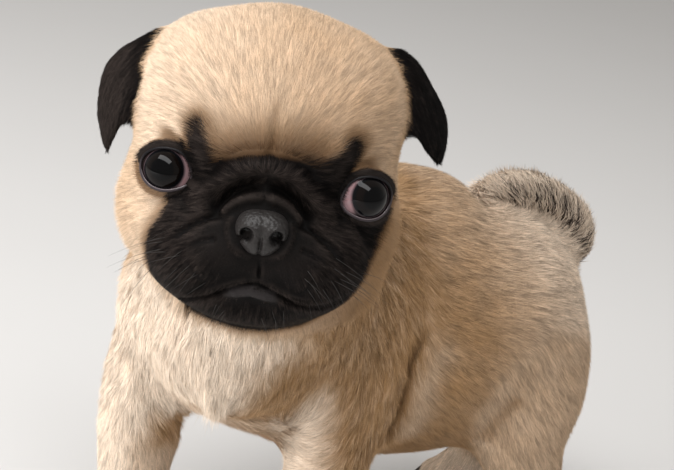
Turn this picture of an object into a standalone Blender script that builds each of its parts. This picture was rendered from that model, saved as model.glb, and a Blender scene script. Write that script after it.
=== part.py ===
# A fawn pug puppy of seven to eight weeks, standing, with its head turned to its left.
# The body runs along Y with the head towards -Y, the puppy's left is +X and the floor is z = 0.
# Everything is out to the tips of the coat. Sizes and places are in millimetres.

import math

import bmesh
import bpy
import numpy as np
from mathutils import Euler, Matrix, Vector

MM = 0.001

# ---- driving dimensions (mm) ----
HEAD_AT = (9.0, -70.0, 178.0)      # middle of the head
HEAD_YAW = 50.0                    # degrees, turned to the puppy's left
HEAD_PITCH = 3.0                   # degrees, nose raised
HEAD_TILT = 1.0                    # degrees, left ear lowered
SKULL_HALF_WIDTH = 43.0
SKULL_HALF_LENGTH = 42.0
SKULL_HALF_HEIGHT = 43.5
EYE_RADIUS = 9.6
EYE_OUT = 29.4                     # eye centre from the middle of the face
EYE_FORWARD = 22.0
EYE_UP = 2.8
NOSE_AT = (0.0, -41.0, -6.5)
NOSE_HALF = (8.2, 6.5, 7.2)
CHEST_AT = (-18.0, -44.0)          # middle between the forelegs on the floor plan
CHEST_TURN = 35.0                  # degrees, the chest faces the puppy's left
RUMP_AT = (14.0, 66.0)             # middle between the hind legs
RUMP_TURN = -26.0
ORIGIN = (-3.4, -9.0, 0.0)         # middle of the outline seen from above, which becomes the origin
FORELEG_RIGHT_STEP = 10.0          # how far the right forefoot stands ahead
GAP = 0.35                         # growth of a seat over its piece
CUT = 0.5                          # width of the cuts that part the body
VOXEL = 1.75                       # grain of the fused body before it is thinned
EAR_VOXEL = 0.8                    # grain of an ear before it is thinned
EAR_TRIANGLES = 430
FLESH_TRIANGLES = 6800             # of the whole body before it is parted
PIECE_THINNING = 0.53              # share of the triangles that each part keeps
SMALLEST_PIECE = 200.0             # cubic millimetres; crumbs of the cuts are dropped

# Trunk stations along the spine: x, y, z of the centre, half width, half height.
TRUNK = (
    (-2.0, -63.0, 112.0, 30.0, 30.0),
    (-10.0, -54.0, 110.0, 38.0, 38.0),
    (-18.0, -38.0, 107.0, 43.5, 46.0),
    (-19.0, -12.0, 104.0, 44.5, 55.0),
    (-11.0, 16.0, 101.0, 44.5, 60.0),
    (2.0, 38.0, 99.5, 42.5, 56.5),
    (13.0, 55.0, 101.5, 37.0, 45.0),
)
NECK = (
    (-13.0, -38.0, 122.0, 42.0, 40.0),
    (-7.0, -52.0, 140.0, 46.0, 40.0),
    (3.0, -59.0, 160.0, 44.0, 38.0),
)

# Legs in the chest's or rump's own frame, from the top down:
# outwards, back, height, half width across, half depth along.
FORELEG = (
    (34.0, 3.0, 100.0, 15.0, 21.0),
    (37.0, 3.0, 76.0, 16.5, 18.0),
    (36.0, 1.0, 56.0, 17.5, 17.0),
    (35.5, -2.0, 38.0, 15.0, 14.5),
    (36.0, -4.0, 20.0, 12.0, 12.0),
    (36.0, -7.0, 10.0, 12.5, 12.5),
)
HINDLEG = (
    (20.0, 0.0, 98.0, 16.0, 27.0),
    (25.0, 0.0, 76.0, 17.5, 26.0),
    (28.0, 0.0, 57.0, 16.0, 20.0),
    (28.5, 8.0, 38.0, 13.5, 15.0),
    (28.5, 12.5, 24.0, 11.5, 11.5),
    (28.5, 10.0, 14.0, 11.5, 11.5),
    (28.5, 4.0, 9.0, 12.0, 12.0),
)
TOES = ((-9.0, -7.0, -14.0), (-3.4, -11.0, -4.0), (3.4, -11.0, 4.0), (9.0, -7.0, 14.0))

# Tail, from its root to its tip: x, y, z, half thickness.
TAIL = (
    (17.0, 77.0, 116.0, 9.0),
    (20.0, 84.0, 128.0, 8.5),
    (20.0, 81.5, 139.5, 7.8),
    (13.5, 69.5, 148.5, 7.8),
    (8.0, 57.5, 151.0, 6.9),
    (4.0, 46.0, 151.0, 3.0),
)

# Ears in the head's frame, from the root to the tip: outwards, back, up, half width, half thickness.
EAR_LEFT = (
    (33.0, 8.5, 37.5, 9.0, 2.6),
    (40.5, 6.5, 36.5, 9.6, 2.6),
    (46.5, 5.5, 29.0, 10.8, 2.3),
    (51.5, 5.0, 21.0, 12.0, 2.1),
    (54.5, 4.5, 14.0, 8.8, 1.9),
    (56.0, 4.0, 9.5, 3.4, 1.7),
)
EAR_RIGHT = (
    (33.0, 8.0, 34.5, 9.3, 2.6),
    (40.5, 6.0, 32.0, 8.6, 2.6),
    (47.5, 4.5, 23.0, 12.4, 2.3),
    (50.5, 2.0, 11.5, 8.8, 2.1),
    (50.5, 0.0, 3.5, 4.4, 1.8),
    (50.0, -1.5, -0.5, 1.8, 1.5),
)
EAR_LEFT_TURN = 34.0               # degrees, how far the flap's face turns forward
EAR_RIGHT_TURN = 42.0

# Which pieces sit in a seat of each part of the body.
SEATED = {
    "head": ("eye_left", "eye_right", "ear_left", "ear_right", "nose"),
    "muzzle": ("nose",),
    "belly": ("tail",),
    "rump": ("tail",),
}

COLOURS = {
    "fawn": (0.62, 0.47, 0.32, 1.0),
    "cream": (0.78, 0.68, 0.54, 1.0),
    "mask": (0.03, 0.025, 0.025, 1.0),
    "nose": (0.015, 0.014, 0.016, 1.0),
    "eye": (0.02, 0.015, 0.012, 1.0),
}


def mm(values):
    return Vector([v * MM for v in values])


def head_frame():
    """Turn and place of the head: +X its left, -Y forward, +Z up."""
    turn = (
        Matrix.Rotation(math.radians(HEAD_YAW), 4, "Z")
        @ Matrix.Rotation(math.radians(-HEAD_PITCH), 4, "X")
        @ Matrix.Rotation(math.radians(HEAD_TILT), 4, "Y")
    )
    return Matrix.Translation(mm(HEAD_AT)) @ turn


def plan_frame(at, turn):
    """Frame of the chest or rump on the floor: +X left, -Y forward."""
    return Matrix.Translation(mm((at[0], at[1], 0.0))) @ Matrix.Rotation(math.radians(turn), 4, "Z")


def new_object(name, mesh, collection):
    made = bpy.data.objects.new(name, mesh)
    collection.objects.link(made)
    return made


def ellipsoid(work, centre, radii, turn=(0.0, 0.0, 0.0), frame=None):
    """Adds one rounded mass to the bmesh, in millimetres, with a turn in degrees."""
    frame = frame or Matrix.Identity(4)
    place = (
        frame
        @ Matrix.Translation(mm(centre))
        @ Euler([math.radians(t) for t in turn]).to_matrix().to_4x4()
        @ Matrix.Diagonal([r * MM for r in radii] + [1.0])
    )
    bmesh.ops.create_icosphere(work, subdivisions=4, radius=1.0, matrix=place)


def smooth_path(stations, steps):
    """Catmull-Rom curve through rows of numbers, steps samples for each stretch."""
    rows = np.array(stations, float)
    rows = np.vstack([2 * rows[0] - rows[1], rows, 2 * rows[-1] - rows[-2]])
    out = []
    for i in range(1, len(rows) - 2):
        for t in np.linspace(0.0, 1.0, steps, endpoint=False):
            a, b, c, d = rows[i - 1:i + 3]
            out.append(
                0.5 * (2 * b + (c - a) * t + (2 * a - 5 * b + 4 * c - d) * t ** 2
                       + (3 * b - a - 3 * c + d) * t ** 3)
            )
    out.append(rows[-2])
    return np.array(out)


def tube(work, stations, up, frame=None, sides=28, steps=6, caps=5):
    """Adds a tube of oval sections with rounded ends; up fixes the second half size's direction."""
    frame = frame or Matrix.Identity(4)
    path = smooth_path(stations, steps)
    centres = path[:, :3]
    half = path[:, 3:5] if path.shape[1] > 4 else np.repeat(path[:, 3:4], 2, axis=1)
    along = np.gradient(centres, axis=0)
    along /= np.linalg.norm(along, axis=1)[:, None]
    rings = []
    for k in range(caps, 0, -1):
        angle = math.pi / 2 * k / (caps + 0.4)
        rings.append((centres[0] - along[0] * half[0].min() * math.sin(angle), along[0],
                      half[0] * math.cos(angle)))
    rings += list(zip(centres, along, half))
    for k in range(1, caps + 1):
        angle = math.pi / 2 * k / (caps + 0.4)
        rings.append((centres[-1] + along[-1] * half[-1].min() * math.sin(angle), along[-1],
                      half[-1] * math.cos(angle)))
    loops = []
    for centre, direction, size in rings:
        side = np.cross(direction, up)
        side /= np.linalg.norm(side)
        top = np.cross(side, direction)
        loop = []
        for s in range(sides):
            angle = 2 * math.pi * s / sides
            point = centre + side * size[0] * math.cos(angle) + top * size[1] * math.sin(angle)
            loop.append(work.verts.new(frame @ mm(point)))
        loops.append(loop)
    for first, second in zip(loops, loops[1:]):
        for s in range(sides):
            n = (s + 1) % sides
            work.faces.new((first[s], first[n], second[n], second[s]))
    work.faces.new(list(reversed(loops[0])))
    work.faces.new(loops[-1])


def finish_bmesh(work, name, collection):
    bmesh.ops.recalc_face_normals(work, faces=work.faces)
    mesh = bpy.data.meshes.new(name)
    work.to_mesh(mesh)
    work.free()
    return new_object(name, mesh, collection)


def add_skull(work, frame):
    """Broad domed skull, temples, cheeks and the short muzzle with its flews and chin."""
    ellipsoid(work, (0, 4, 10.5), (SKULL_HALF_WIDTH, SKULL_HALF_LENGTH, SKULL_HALF_HEIGHT), frame=frame)
    for side in (-1, 1):
        ellipsoid(work, (side * 20, 3, 23), (23.5, 34, 26.5), frame=frame)
        ellipsoid(work, (side * 27, -4, -12), (19, 26, 25), frame=frame)
        ellipsoid(work, (side * 17.5, -26, -19.5), (19, 19, 18), (0, 0, side * 20), frame=frame)
        ellipsoid(work, (side * 17, -21, 14), (14, 15, 13), frame=frame)
    ellipsoid(work, (0, -27, -13), (20, 18.5, 17), frame=frame)
    ellipsoid(work, (0, -33, -1), (16, 10, 7), frame=frame)
    ellipsoid(work, (0, -20, -32), (28, 20, 13), frame=frame)


def add_leg(work, frame, side, stations, step, heading):
    """One leg as a tube from inside the body to the floor, its four toes and the pads."""
    placed = []
    for out, back, height, across, deep in stations:
        placed.append((side * out, back - step * (1.0 - height / 100.0), height, across, deep))
    tube(work, placed, (0, 1, 0.2), frame)
    foot = frame @ Matrix.Translation(mm((placed[-1][0], placed[-1][1], 0.0)))
    foot = foot @ Matrix.Rotation(math.radians(heading), 4, "Z")
    for x, y, spread in TOES:
        ellipsoid(work, (x, y, 5.5), (4.6, 8, 6.2), (0, 0, spread), foot)
    ellipsoid(work, (0, -1, 4.5), (10.5, 10, 6.5), (0, 0, 0), foot)


def evaluated(source):
    """Copy of an object's mesh with its modifiers applied."""
    graph = bpy.context.evaluated_depsgraph_get()
    return bpy.data.meshes.new_from_object(source.evaluated_get(graph))


def relax(mesh, rounds):
    """Laplacian smoothing; the feet keep their toes and take a tenth of it."""
    points = np.empty(len(mesh.vertices) * 3)
    mesh.vertices.foreach_get("co", points)
    points = points.reshape(-1, 3)
    edges = np.empty(len(mesh.edges) * 2, int)
    mesh.edges.foreach_get("vertices", edges)
    edges = edges.reshape(-1, 2)
    count = np.bincount(edges.ravel(), minlength=len(points))[:, None]
    share = 0.1 + 0.9 * np.clip((points[:, 2:] - 0.014) / 0.02, 0.0, 1.0)
    for _ in range(rounds):
        total = np.zeros_like(points)
        for axis in range(3):
            total[:, axis] += np.bincount(edges[:, 0], points[edges[:, 1], axis], len(points))
            total[:, axis] += np.bincount(edges[:, 1], points[edges[:, 0], axis], len(points))
        points += 0.6 * share * (total / count - points)
    mesh.vertices.foreach_set("co", points.ravel())
    mesh.update()


def cleaned(made):
    """Remeshes a bent flap, whose sections cross at the bend, into one clean thinned body."""
    fuse = made.modifiers.new("fuse", "REMESH")
    fuse.mode = "VOXEL"
    fuse.voxel_size = EAR_VOXEL * MM
    mesh = evaluated(made)
    made.modifiers.clear()
    relax(mesh, 4)
    made.data = mesh
    thin = made.modifiers.new("thin", "DECIMATE")
    thin.ratio = EAR_TRIANGLES / (2.0 * len(mesh.vertices))
    mesh = evaluated(made)
    made.modifiers.clear()
    made.data = mesh
    return made


def add_floor_cutter(cutters):
    """A slab whose top is the floor: it trims the pads and toes to flats at z = 0."""
    work = bmesh.new()
    place = Matrix.Translation(mm((0, 0, -10))) @ Matrix.Diagonal([0.4, 0.4, 0.02, 1.0])
    bmesh.ops.create_cube(work, size=1.0, matrix=place)
    return finish_bmesh(work, "cut_floor", cutters)


def add_slab(work, centre, normal, size, frame=None):
    """A thin slab that parts the body: centre, normal and side lengths in millimetres."""
    frame = frame or Matrix.Identity(4)
    turn = Vector(normal).to_track_quat("Z", "Y").to_matrix().to_4x4()
    place = (frame @ Matrix.Translation(mm(centre)) @ turn
             @ Matrix.Diagonal([size[0] * MM, size[1] * MM, CUT * MM, 1.0]))
    bmesh.ops.create_cube(work, size=1.0, matrix=place)


def subtract(target, cutter):
    cut = target.modifiers.new(cutter.name, "BOOLEAN")
    cut.operation = "DIFFERENCE"
    cut.solver = "EXACT"
    cut.object = cutter


def as_cutter(made, cutters, by):
    """A copy of a piece, grown by the clearance, that cuts its seat in the body."""
    mesh = made.data.copy()
    cutter = new_object("seat_" + made.name, mesh, cutters)
    grow = np.empty(len(mesh.vertices) * 3)
    normals = np.empty(len(mesh.vertices) * 3)
    mesh.vertices.foreach_get("co", grow)
    mesh.vertex_normals.foreach_get("vector", normals)
    mesh.vertices.foreach_set("co", grow + normals * by * MM)
    mesh.update()
    return cutter


def build_flesh(collection):
    """All flesh as one body: masses and tubes fused, smoothed and thinned to facets."""
    chest = plan_frame(CHEST_AT, CHEST_TURN)
    rump = plan_frame(RUMP_AT, RUMP_TURN)
    work = bmesh.new()
    add_skull(work, head_frame())
    tube(work, NECK, (0, 1, 0.4))
    tube(work, TRUNK, (0, 0, 1))
    for side in (-1, 1):
        ellipsoid(work, (side * 32, 4, 108), (18, 26, 33), (12, 0, side * 8), chest)
        ellipsoid(work, (side * 20, -1, 88), (19, 28, 34), (-10, 0, 0), rump)
    add_leg(work, chest, 1, FORELEG, 0.0, -14)
    add_leg(work, chest, -1, FORELEG, FORELEG_RIGHT_STEP, -14)
    add_leg(work, rump, 1, HINDLEG, 0.0, 12)
    add_leg(work, rump, -1, HINDLEG, 0.0, 4)
    fused = finish_bmesh(work, "fused", collection)
    fuse = fused.modifiers.new("fuse", "REMESH")
    fuse.mode = "VOXEL"
    fuse.voxel_size = VOXEL * MM
    mesh = evaluated(fused)
    relax(mesh, 45)
    flesh = new_object("flesh", mesh, collection)
    bpy.data.objects.remove(fused, do_unlink=True)
    thin = flesh.modifiers.new("thin", "DECIMATE")
    thin.ratio = FLESH_TRIANGLES / (2.0 * len(mesh.vertices))
    return flesh


def build_pieces(collection):
    """Eyes, nose, ears and tail: closed pieces that sit in seats of the body."""
    made = []
    face = head_frame()
    for side, name in ((1, "eye_left"), (-1, "eye_right")):
        work = bmesh.new()
        place = face @ Matrix.Translation(mm((side * EYE_OUT, -EYE_FORWARD, EYE_UP)))
        bmesh.ops.create_uvsphere(work, u_segments=16, v_segments=10, radius=EYE_RADIUS * MM, matrix=place)
        made.append((finish_bmesh(work, name, collection), "eye"))
    work = bmesh.new()
    place = face @ Matrix.Translation(mm(NOSE_AT)) @ Matrix.Diagonal([r * MM for r in NOSE_HALF] + [1.0])
    bmesh.ops.create_uvsphere(work, u_segments=14, v_segments=8, radius=1.0, matrix=place)
    made.append((finish_bmesh(work, "nose", collection), "nose"))
    for side, name, stations, turn in (
        (1, "ear_left", EAR_LEFT, EAR_LEFT_TURN),
        (-1, "ear_right", EAR_RIGHT, EAR_RIGHT_TURN),
    ):
        work = bmesh.new()
        outward = (side * math.cos(math.radians(turn)), -math.sin(math.radians(turn)), 0.3)
        placed = [(side * row[0],) + row[1:] for row in stations]
        tube(work, placed, outward, face, sides=20, steps=5, caps=4)
        made.append((cleaned(finish_bmesh(work, name, collection)), "mask"))
    work = bmesh.new()
    tube(work, TAIL, (1, 0, 0), sides=12, steps=3, caps=4)
    made.append((finish_bmesh(work, "tail", collection), "cream"))
    return made


def add_cuts(cutters):
    """Slabs that part the fused body, one object each: (name, frame, centre, normal, side lengths)."""
    face = head_frame()
    chest = plan_frame(CHEST_AT, CHEST_TURN)
    rump = plan_frame(RUMP_AT, RUMP_TURN)
    still = Matrix.Identity(4)
    rows = [
        ("cut_muzzle", face, (0, -24, -21.5), (0, -0.872, -0.489), (120, 78)),
        ("cut_head", face, (0, 18, -18), (0, 0.77, -0.64), (120, 96)),
        ("cut_neck", still, (-3, -43.5, 142.5), (0.18, -0.257, 0.95), (120, 112)),
        ("cut_belly", still, (-13, 14, 100), (0.275, 0.96, 0), (150, 150)),
        ("cut_rump", still, (6, 41, 100), (0.54, 0.84, 0), (150, 150)),
    ]
    for side in (-1, 1):
        tag = "left" if side > 0 else "right"
        rows += [
            ("cut_foreleg_" + tag, chest, (side * 37, 0, 51), (0, 0.33, 0.94), (44, 56)),
            ("cut_forepaw_" + tag, chest, (side * 36, -8, 22), (0, 0, 1), (40, 50)),
            ("cut_thigh_" + tag, rump, (side * 29, 3, 84), (side * 0.896, 0.358, -0.262), (90, 90)),
            ("cut_hindleg_" + tag, rump, (side * 30, 4, 49), (0, -0.35, 0.94), (40, 60)),
            ("cut_hindpaw_" + tag, rump, (side * 28, 8, 22), (0, 0, 1), (40, 50)),
        ]
    made = []
    for name, frame, centre, normal, size in rows:
        work = bmesh.new()
        add_slab(work, centre, normal, size, frame)
        made.append(finish_bmesh(work, name, cutters))
    return made


def anchors():
    """A point inside each part of the parted body, in metres, and its colour."""
    face = head_frame()
    chest = plan_frame(CHEST_AT, CHEST_TURN)
    rump = plan_frame(RUMP_AT, RUMP_TURN)
    still = Matrix.Identity(4)
    rows = {
        "head": (face, (0, 4, 12), "fawn"),
        "muzzle": (face, (0, -34, -22), "mask"),
        "neck": (still, (-4, -48, 150), "fawn"),
        "chest": (still, (-18, -30, 104), "cream"),
        "belly": (still, (-6, 26, 100), "fawn"),
        "rump": (still, (16, 62, 104), "fawn"),
    }
    for side, tag in ((-1, "right"), (1, "left")):
        rows["foreleg_" + tag] = (chest, (side * 36, -2, 40), "cream")
        rows["forepaw_" + tag] = (chest, (side * 36, -10, 8), "cream")
        rows["thigh_" + tag] = (rump, (side * 35, 8, 84), "fawn")
        rows["hindleg_" + tag] = (rump, (side * 28, 6, 40), "cream")
        rows["hindpaw_" + tag] = (rump, (side * 28, 4, 8), "cream")
    return {name: (frame @ mm(point), colour) for name, (frame, point, colour) in rows.items()}


def drop_flaps(work):
    """Deletes pairs of triangles on the same three corners, which enclose nothing."""
    seen = {}
    for face in work.faces:
        seen.setdefault(frozenset(face.verts), []).append(face)
    flaps = [face for group in seen.values() if len(group) > 1 for face in group]
    bmesh.ops.delete(work, geom=flaps, context="FACES")


def loose_parts(mesh):
    """Splits a mesh into its connected bodies, as new meshes."""
    work = bmesh.new()
    work.from_mesh(mesh)
    bmesh.ops.triangulate(work, faces=work.faces)
    drop_flaps(work)
    left = set(work.faces)
    found = []
    while left:
        stack = [left.pop()]
        group = []
        while stack:
            face = stack.pop()
            group.append(face)
            for edge in face.edges:
                for other in edge.link_faces:
                    if other in left:
                        left.discard(other)
                        stack.append(other)
        piece = bmesh.new()
        copies = {}
        for face in group:
            for vert in face.verts:
                if vert not in copies:
                    copies[vert] = piece.verts.new(vert.co)
            piece.faces.new([copies[vert] for vert in face.verts])
        found.append(piece)
    work.free()
    return found


def part_flesh(flesh, seats, cuts, floor, collection):
    """Cuts the floor flats and the slabs, names each part by its anchor and cuts its seats."""
    for cutter in [floor] + cuts:
        subtract(flesh, cutter)
    mesh = evaluated(flesh)
    named = anchors()
    taken = {}
    for piece in loose_parts(mesh):
        volume = piece.calc_volume()
        if abs(volume) < SMALLEST_PIECE * MM ** 3:
            piece.free()
            continue
        middle = sum((vert.co for vert in piece.verts), Vector()) / len(piece.verts)
        name = min(named, key=lambda key: (named[key][0] - middle).length)
        if name in taken:
            raise ValueError("two bodies are nearest to " + name)
        taken[name] = piece
    for name, piece in sorted(taken.items()):
        made = finish_bmesh(piece, name, collection)
        thin = made.modifiers.new("thin", "DECIMATE")
        thin.ratio = PIECE_THINNING
        for seat in SEATED.get(name, ()):
            subtract(made, seats[seat])
        dress(made, named[name][1])
    bpy.data.objects.remove(flesh, do_unlink=True)


def dress(made, colour):
    """Gives a piece its own material and smooth shading."""
    material = bpy.data.materials.new(made.name)
    material.use_nodes = True
    shader = material.node_tree.nodes["Principled BSDF"]
    shader.inputs["Base Color"].default_value = COLOURS[colour]
    shader.inputs["Roughness"].default_value = 0.15 if colour == "eye" else 0.85
    shader.inputs["Metallic"].default_value = 0.0
    made.data.materials.append(material)
    made.data.shade_smooth()


def main():
    for old in list(bpy.data.objects):
        bpy.data.objects.remove(old, do_unlink=True)
    parts = bpy.data.collections.new("pug_puppy")
    cutters = bpy.data.collections.new("cutters")
    bpy.context.scene.collection.children.link(parts)
    bpy.context.scene.collection.children.link(cutters)
    flesh = build_flesh(parts)
    pieces = build_pieces(parts)
    seats = {made.name: as_cutter(made, cutters, GAP) for made, _ in pieces}
    floor = add_floor_cutter(cutters)
    cuts = add_cuts(cutters)
    for cutter in cutters.objects:
        cutter.hide_render = True
        cutter.display_type = "WIRE"
    part_flesh(flesh, seats, cuts, floor, parts)
    for made, colour in pieces:
        dress(made, colour)
    for made in list(parts.objects) + list(cutters.objects):
        made.data.transform(Matrix.Translation(-mm(ORIGIN)))


main()
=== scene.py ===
import math

import bmesh
import bpy
import numpy as np
from mathutils import Matrix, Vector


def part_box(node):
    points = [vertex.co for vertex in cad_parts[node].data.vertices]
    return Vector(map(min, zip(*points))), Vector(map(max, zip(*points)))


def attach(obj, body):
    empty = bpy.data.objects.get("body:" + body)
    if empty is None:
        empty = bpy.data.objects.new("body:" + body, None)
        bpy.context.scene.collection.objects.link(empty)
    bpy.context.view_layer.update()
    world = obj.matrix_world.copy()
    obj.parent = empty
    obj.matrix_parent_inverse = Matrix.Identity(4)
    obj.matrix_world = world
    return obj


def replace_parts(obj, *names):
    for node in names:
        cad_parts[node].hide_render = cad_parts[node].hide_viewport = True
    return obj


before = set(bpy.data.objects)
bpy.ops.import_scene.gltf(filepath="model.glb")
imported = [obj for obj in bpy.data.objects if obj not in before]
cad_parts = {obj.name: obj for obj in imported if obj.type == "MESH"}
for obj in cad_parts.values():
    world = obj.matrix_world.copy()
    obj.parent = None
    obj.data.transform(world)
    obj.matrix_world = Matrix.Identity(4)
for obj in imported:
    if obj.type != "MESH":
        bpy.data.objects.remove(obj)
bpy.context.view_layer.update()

# A fawn pug puppy: one skin over the flesh, a coat of fine tufts, eyes, nose, lids, claws, pads and whiskers.
# Places on the face are in millimetres in the head's frame: x to the puppy's left, -y forward, z up.

headPlace = {"at": (12.4, -61.0, 178.0), "yaw": 50.0, "pitch": 3.0, "tilt": 1.0}
# Each eye: where its opening faces (1 is the puppy's left, -1 its right) and the opening's half angles.
eyePlace = {
    "at": (29.4, -22.0, 2.8),
    "radius": 9.6,
    "axis": {1: (0.33, -0.92, 0.20), -1: (-0.14, -0.95, 0.285)},
    "wide": {1: 51.5, -1: 48.0},
    "tall": {1: 42.5, -1: 40.5},
    "nasalCorner": (7.5, -22.0, 24.0),
    "outerCorner": (4.0, 163.0, 26.0),
    "upperLid": (-2.4, 95.0, 40.0),
}


def unit(vectors):
    # each vector divided by its own length
    return vectors / np.maximum(np.linalg.norm(vectors, axis=-1, keepdims=True), 1e-9)


def smooth(low, high, value):
    # 3t^2 - 2t^3 with t running from 0 at low to 1 at high
    t = np.clip((value - low) / (high - low), 0.0, 1.0)
    return t * t * (3.0 - 2.0 * t)


def turnMatrix(axis, degrees):
    # three by three matrix of a turn about one axis
    return np.array(Matrix.Rotation(math.radians(degrees), 3, axis))


headTurn = (turnMatrix("Z", headPlace["yaw"]) @ turnMatrix("X", -headPlace["pitch"])
            @ turnMatrix("Y", headPlace["tilt"]))
headAt = np.array(headPlace["at"])


def toHead(points):
    # metres in the room to millimetres in the head's frame
    return (points * 1000.0 - headAt) @ headTurn


def fromHead(points):
    # millimetres in the head's frame to metres in the room
    return (np.asarray(points, float) @ headTurn.T + headAt) / 1000.0


def makePiece(name, points, quads=None, triangles=None, smoothShade=True):
    # one object at the origin from whole arrays of corners, four-sided and three-sided faces
    quads = np.zeros((0, 4), int) if quads is None else np.asarray(quads)
    triangles = np.zeros((0, 3), int) if triangles is None else np.asarray(triangles)
    mesh = bpy.data.meshes.new(name)
    mesh.vertices.add(len(points))
    mesh.vertices.foreach_set("co", np.asarray(points, np.float32).ravel())
    corners = np.concatenate([quads.ravel(), triangles.ravel()]).astype(np.int32)
    mesh.loops.add(len(corners))
    mesh.loops.foreach_set("vertex_index", corners)
    starts = np.concatenate([np.arange(len(quads)) * 4, len(quads) * 4 + np.arange(len(triangles)) * 3])
    mesh.polygons.add(len(starts))
    mesh.polygons.foreach_set("loop_start", starts.astype(np.int32))
    mesh.update(calc_edges=True)
    if smoothShade:
        mesh.shade_smooth()
    piece = bpy.data.objects.new(name, mesh)
    bpy.context.scene.collection.objects.link(piece)
    return piece


def readMesh(mesh):
    # corners and vertex normals as arrays
    points = np.empty(len(mesh.vertices) * 3, np.float32)
    mesh.vertices.foreach_get("co", points)
    normals = np.empty(len(mesh.vertices) * 3, np.float32)
    mesh.vertex_normals.foreach_get("vector", normals)
    return points.reshape(-1, 3).astype(float), normals.reshape(-1, 3).astype(float)


def writePoints(mesh, points):
    # new places for the corners
    mesh.vertices.foreach_set("co", np.asarray(points, np.float32).ravel())
    mesh.update()


def readEdges(mesh):
    # the two corners of each edge
    edges = np.empty(len(mesh.edges) * 2, np.int32)
    mesh.edges.foreach_get("vertices", edges)
    return edges.reshape(-1, 2)


def readTriangles(mesh):
    # the three corners of each triangle
    mesh.calc_loop_triangles()
    corners = np.empty(len(mesh.loop_triangles) * 3, np.int32)
    mesh.loop_triangles.foreach_get("vertices", corners)
    return corners.reshape(-1, 3)


def relax(values, edges, share, rounds):
    # each round moves a value by share of the way to the mean of its neighbours
    count = np.maximum(np.bincount(edges.ravel(), minlength=len(values)), 1)[:, None]
    values = values.copy()
    for _ in range(rounds):
        total = np.zeros_like(values)
        for column in range(values.shape[1]):
            total[:, column] += np.bincount(edges[:, 0], values[edges[:, 1], column], len(values))
            total[:, column] += np.bincount(edges[:, 1], values[edges[:, 0], column], len(values))
        values += share * (total / count - values)
    return values


def ringMesh(rings):
    # closed tube from rings of the same count: sides between them and a fan to a middle point at each end
    count, sides = rings.shape[:2]
    points = np.concatenate([rings.reshape(-1, 3), rings[0].mean(0)[None], rings[-1].mean(0)[None]])
    a = (np.arange(count - 1)[:, None] * sides + np.arange(sides)[None]).ravel()
    b = (np.arange(count - 1)[:, None] * sides + (np.arange(sides)[None] + 1) % sides).ravel()
    quads = np.stack([a, b, b + sides, a + sides], 1)
    s = np.arange(sides)
    n = (s + 1) % sides
    last = (count - 1) * sides
    start = np.stack([np.full(sides, count * sides), n, s], 1)
    end = np.stack([np.full(sides, count * sides + 1), last + s, last + n], 1)
    return points, quads, np.concatenate([start, end])


def sweptRings(path, hint, size, wide, tall, sides):
    # ovals carried along an open path, path + size * (wide * across * cos + tall * over * sin), with across
    # square to the path and the hint
    along = unit(np.gradient(path, axis=0))
    across = unit(np.cross(along, hint))
    over = np.cross(across, along)
    turn = np.linspace(0, 2 * np.pi, sides, endpoint=False)[:, None]
    ring = wide * across[:, None] * np.cos(turn) + tall * over[:, None] * np.sin(turn)
    return path[:, None] + size[:, None, None] * ring


def joinParts(parts):
    # several (points, quads, triangles) as one
    offset = 0
    allPoints, allQuads, allTriangles = [], [], []
    for points, quads, triangles in parts:
        allPoints.append(points)
        allQuads.append(quads + offset)
        allTriangles.append(triangles + offset)
        offset += len(points)
    return np.concatenate(allPoints), np.concatenate(allQuads), np.concatenate(allTriangles)


def placeMatrix(right, up, back, at):
    # an object's matrix from the directions of its own axes and its place
    matrix = np.eye(4)
    matrix[:3, :4] = np.stack([right, up, back, at], 1)
    return Matrix(matrix.tolist())


def faceOutward(piece):
    # recalculates the normals of a closed piece
    work = bmesh.new()
    work.from_mesh(piece.data)
    bmesh.ops.recalc_face_normals(work, faces=work.faces)
    work.to_mesh(piece.data)
    work.free()


def closedPiece(name, part, look):
    # a closed piece from (points, quads, triangles) in its material, its faces turned outward
    piece = makePiece(name, *part)
    faceOutward(piece)
    piece.data.materials.append(look)
    return piece


def curvePoints(stations, steps):
    # Catmull-Rom curve through the stations
    rows = np.array(stations, float)
    rows = np.vstack([2 * rows[0] - rows[1], rows, 2 * rows[-1] - rows[-2]])
    t = np.linspace(0.0, 1.0, steps, endpoint=False)[:, None]
    out = []
    for a, b, c, d in zip(rows[:-3], rows[1:-2], rows[2:-1], rows[3:]):
        out.append(0.5 * (2 * b + (c - a) * t + (2 * a - 5 * b + 4 * c - d) * t ** 2
                          + (3 * b - a - 3 * c + d) * t ** 3))
    return np.vstack(out + [rows[-2][None]])


def nearestOnPath(points, path):
    # distance to a polyline, and the direction and the share of the length at the nearest place
    best = np.full(len(points), 1e9)
    along = np.zeros((len(points), 3))
    share = np.zeros(len(points))
    lengths = np.linalg.norm(np.diff(path, axis=0), axis=1)
    before = np.concatenate([[0.0], np.cumsum(lengths)])
    for k in range(len(path) - 1):
        step = path[k + 1] - path[k]
        t = np.clip((points - path[k]) @ step / max(step @ step, 1e-9), 0.0, 1.0)
        away = np.linalg.norm(points - path[k] - t[:, None] * step, axis=1)
        nearer = away < best
        best = np.where(nearer, away, best)
        along[nearer] = step / max(lengths[k], 1e-9)
        share = np.where(nearer, (before[k] + t * lengths[k]) / before[-1], share)
    return best, along, share


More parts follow.
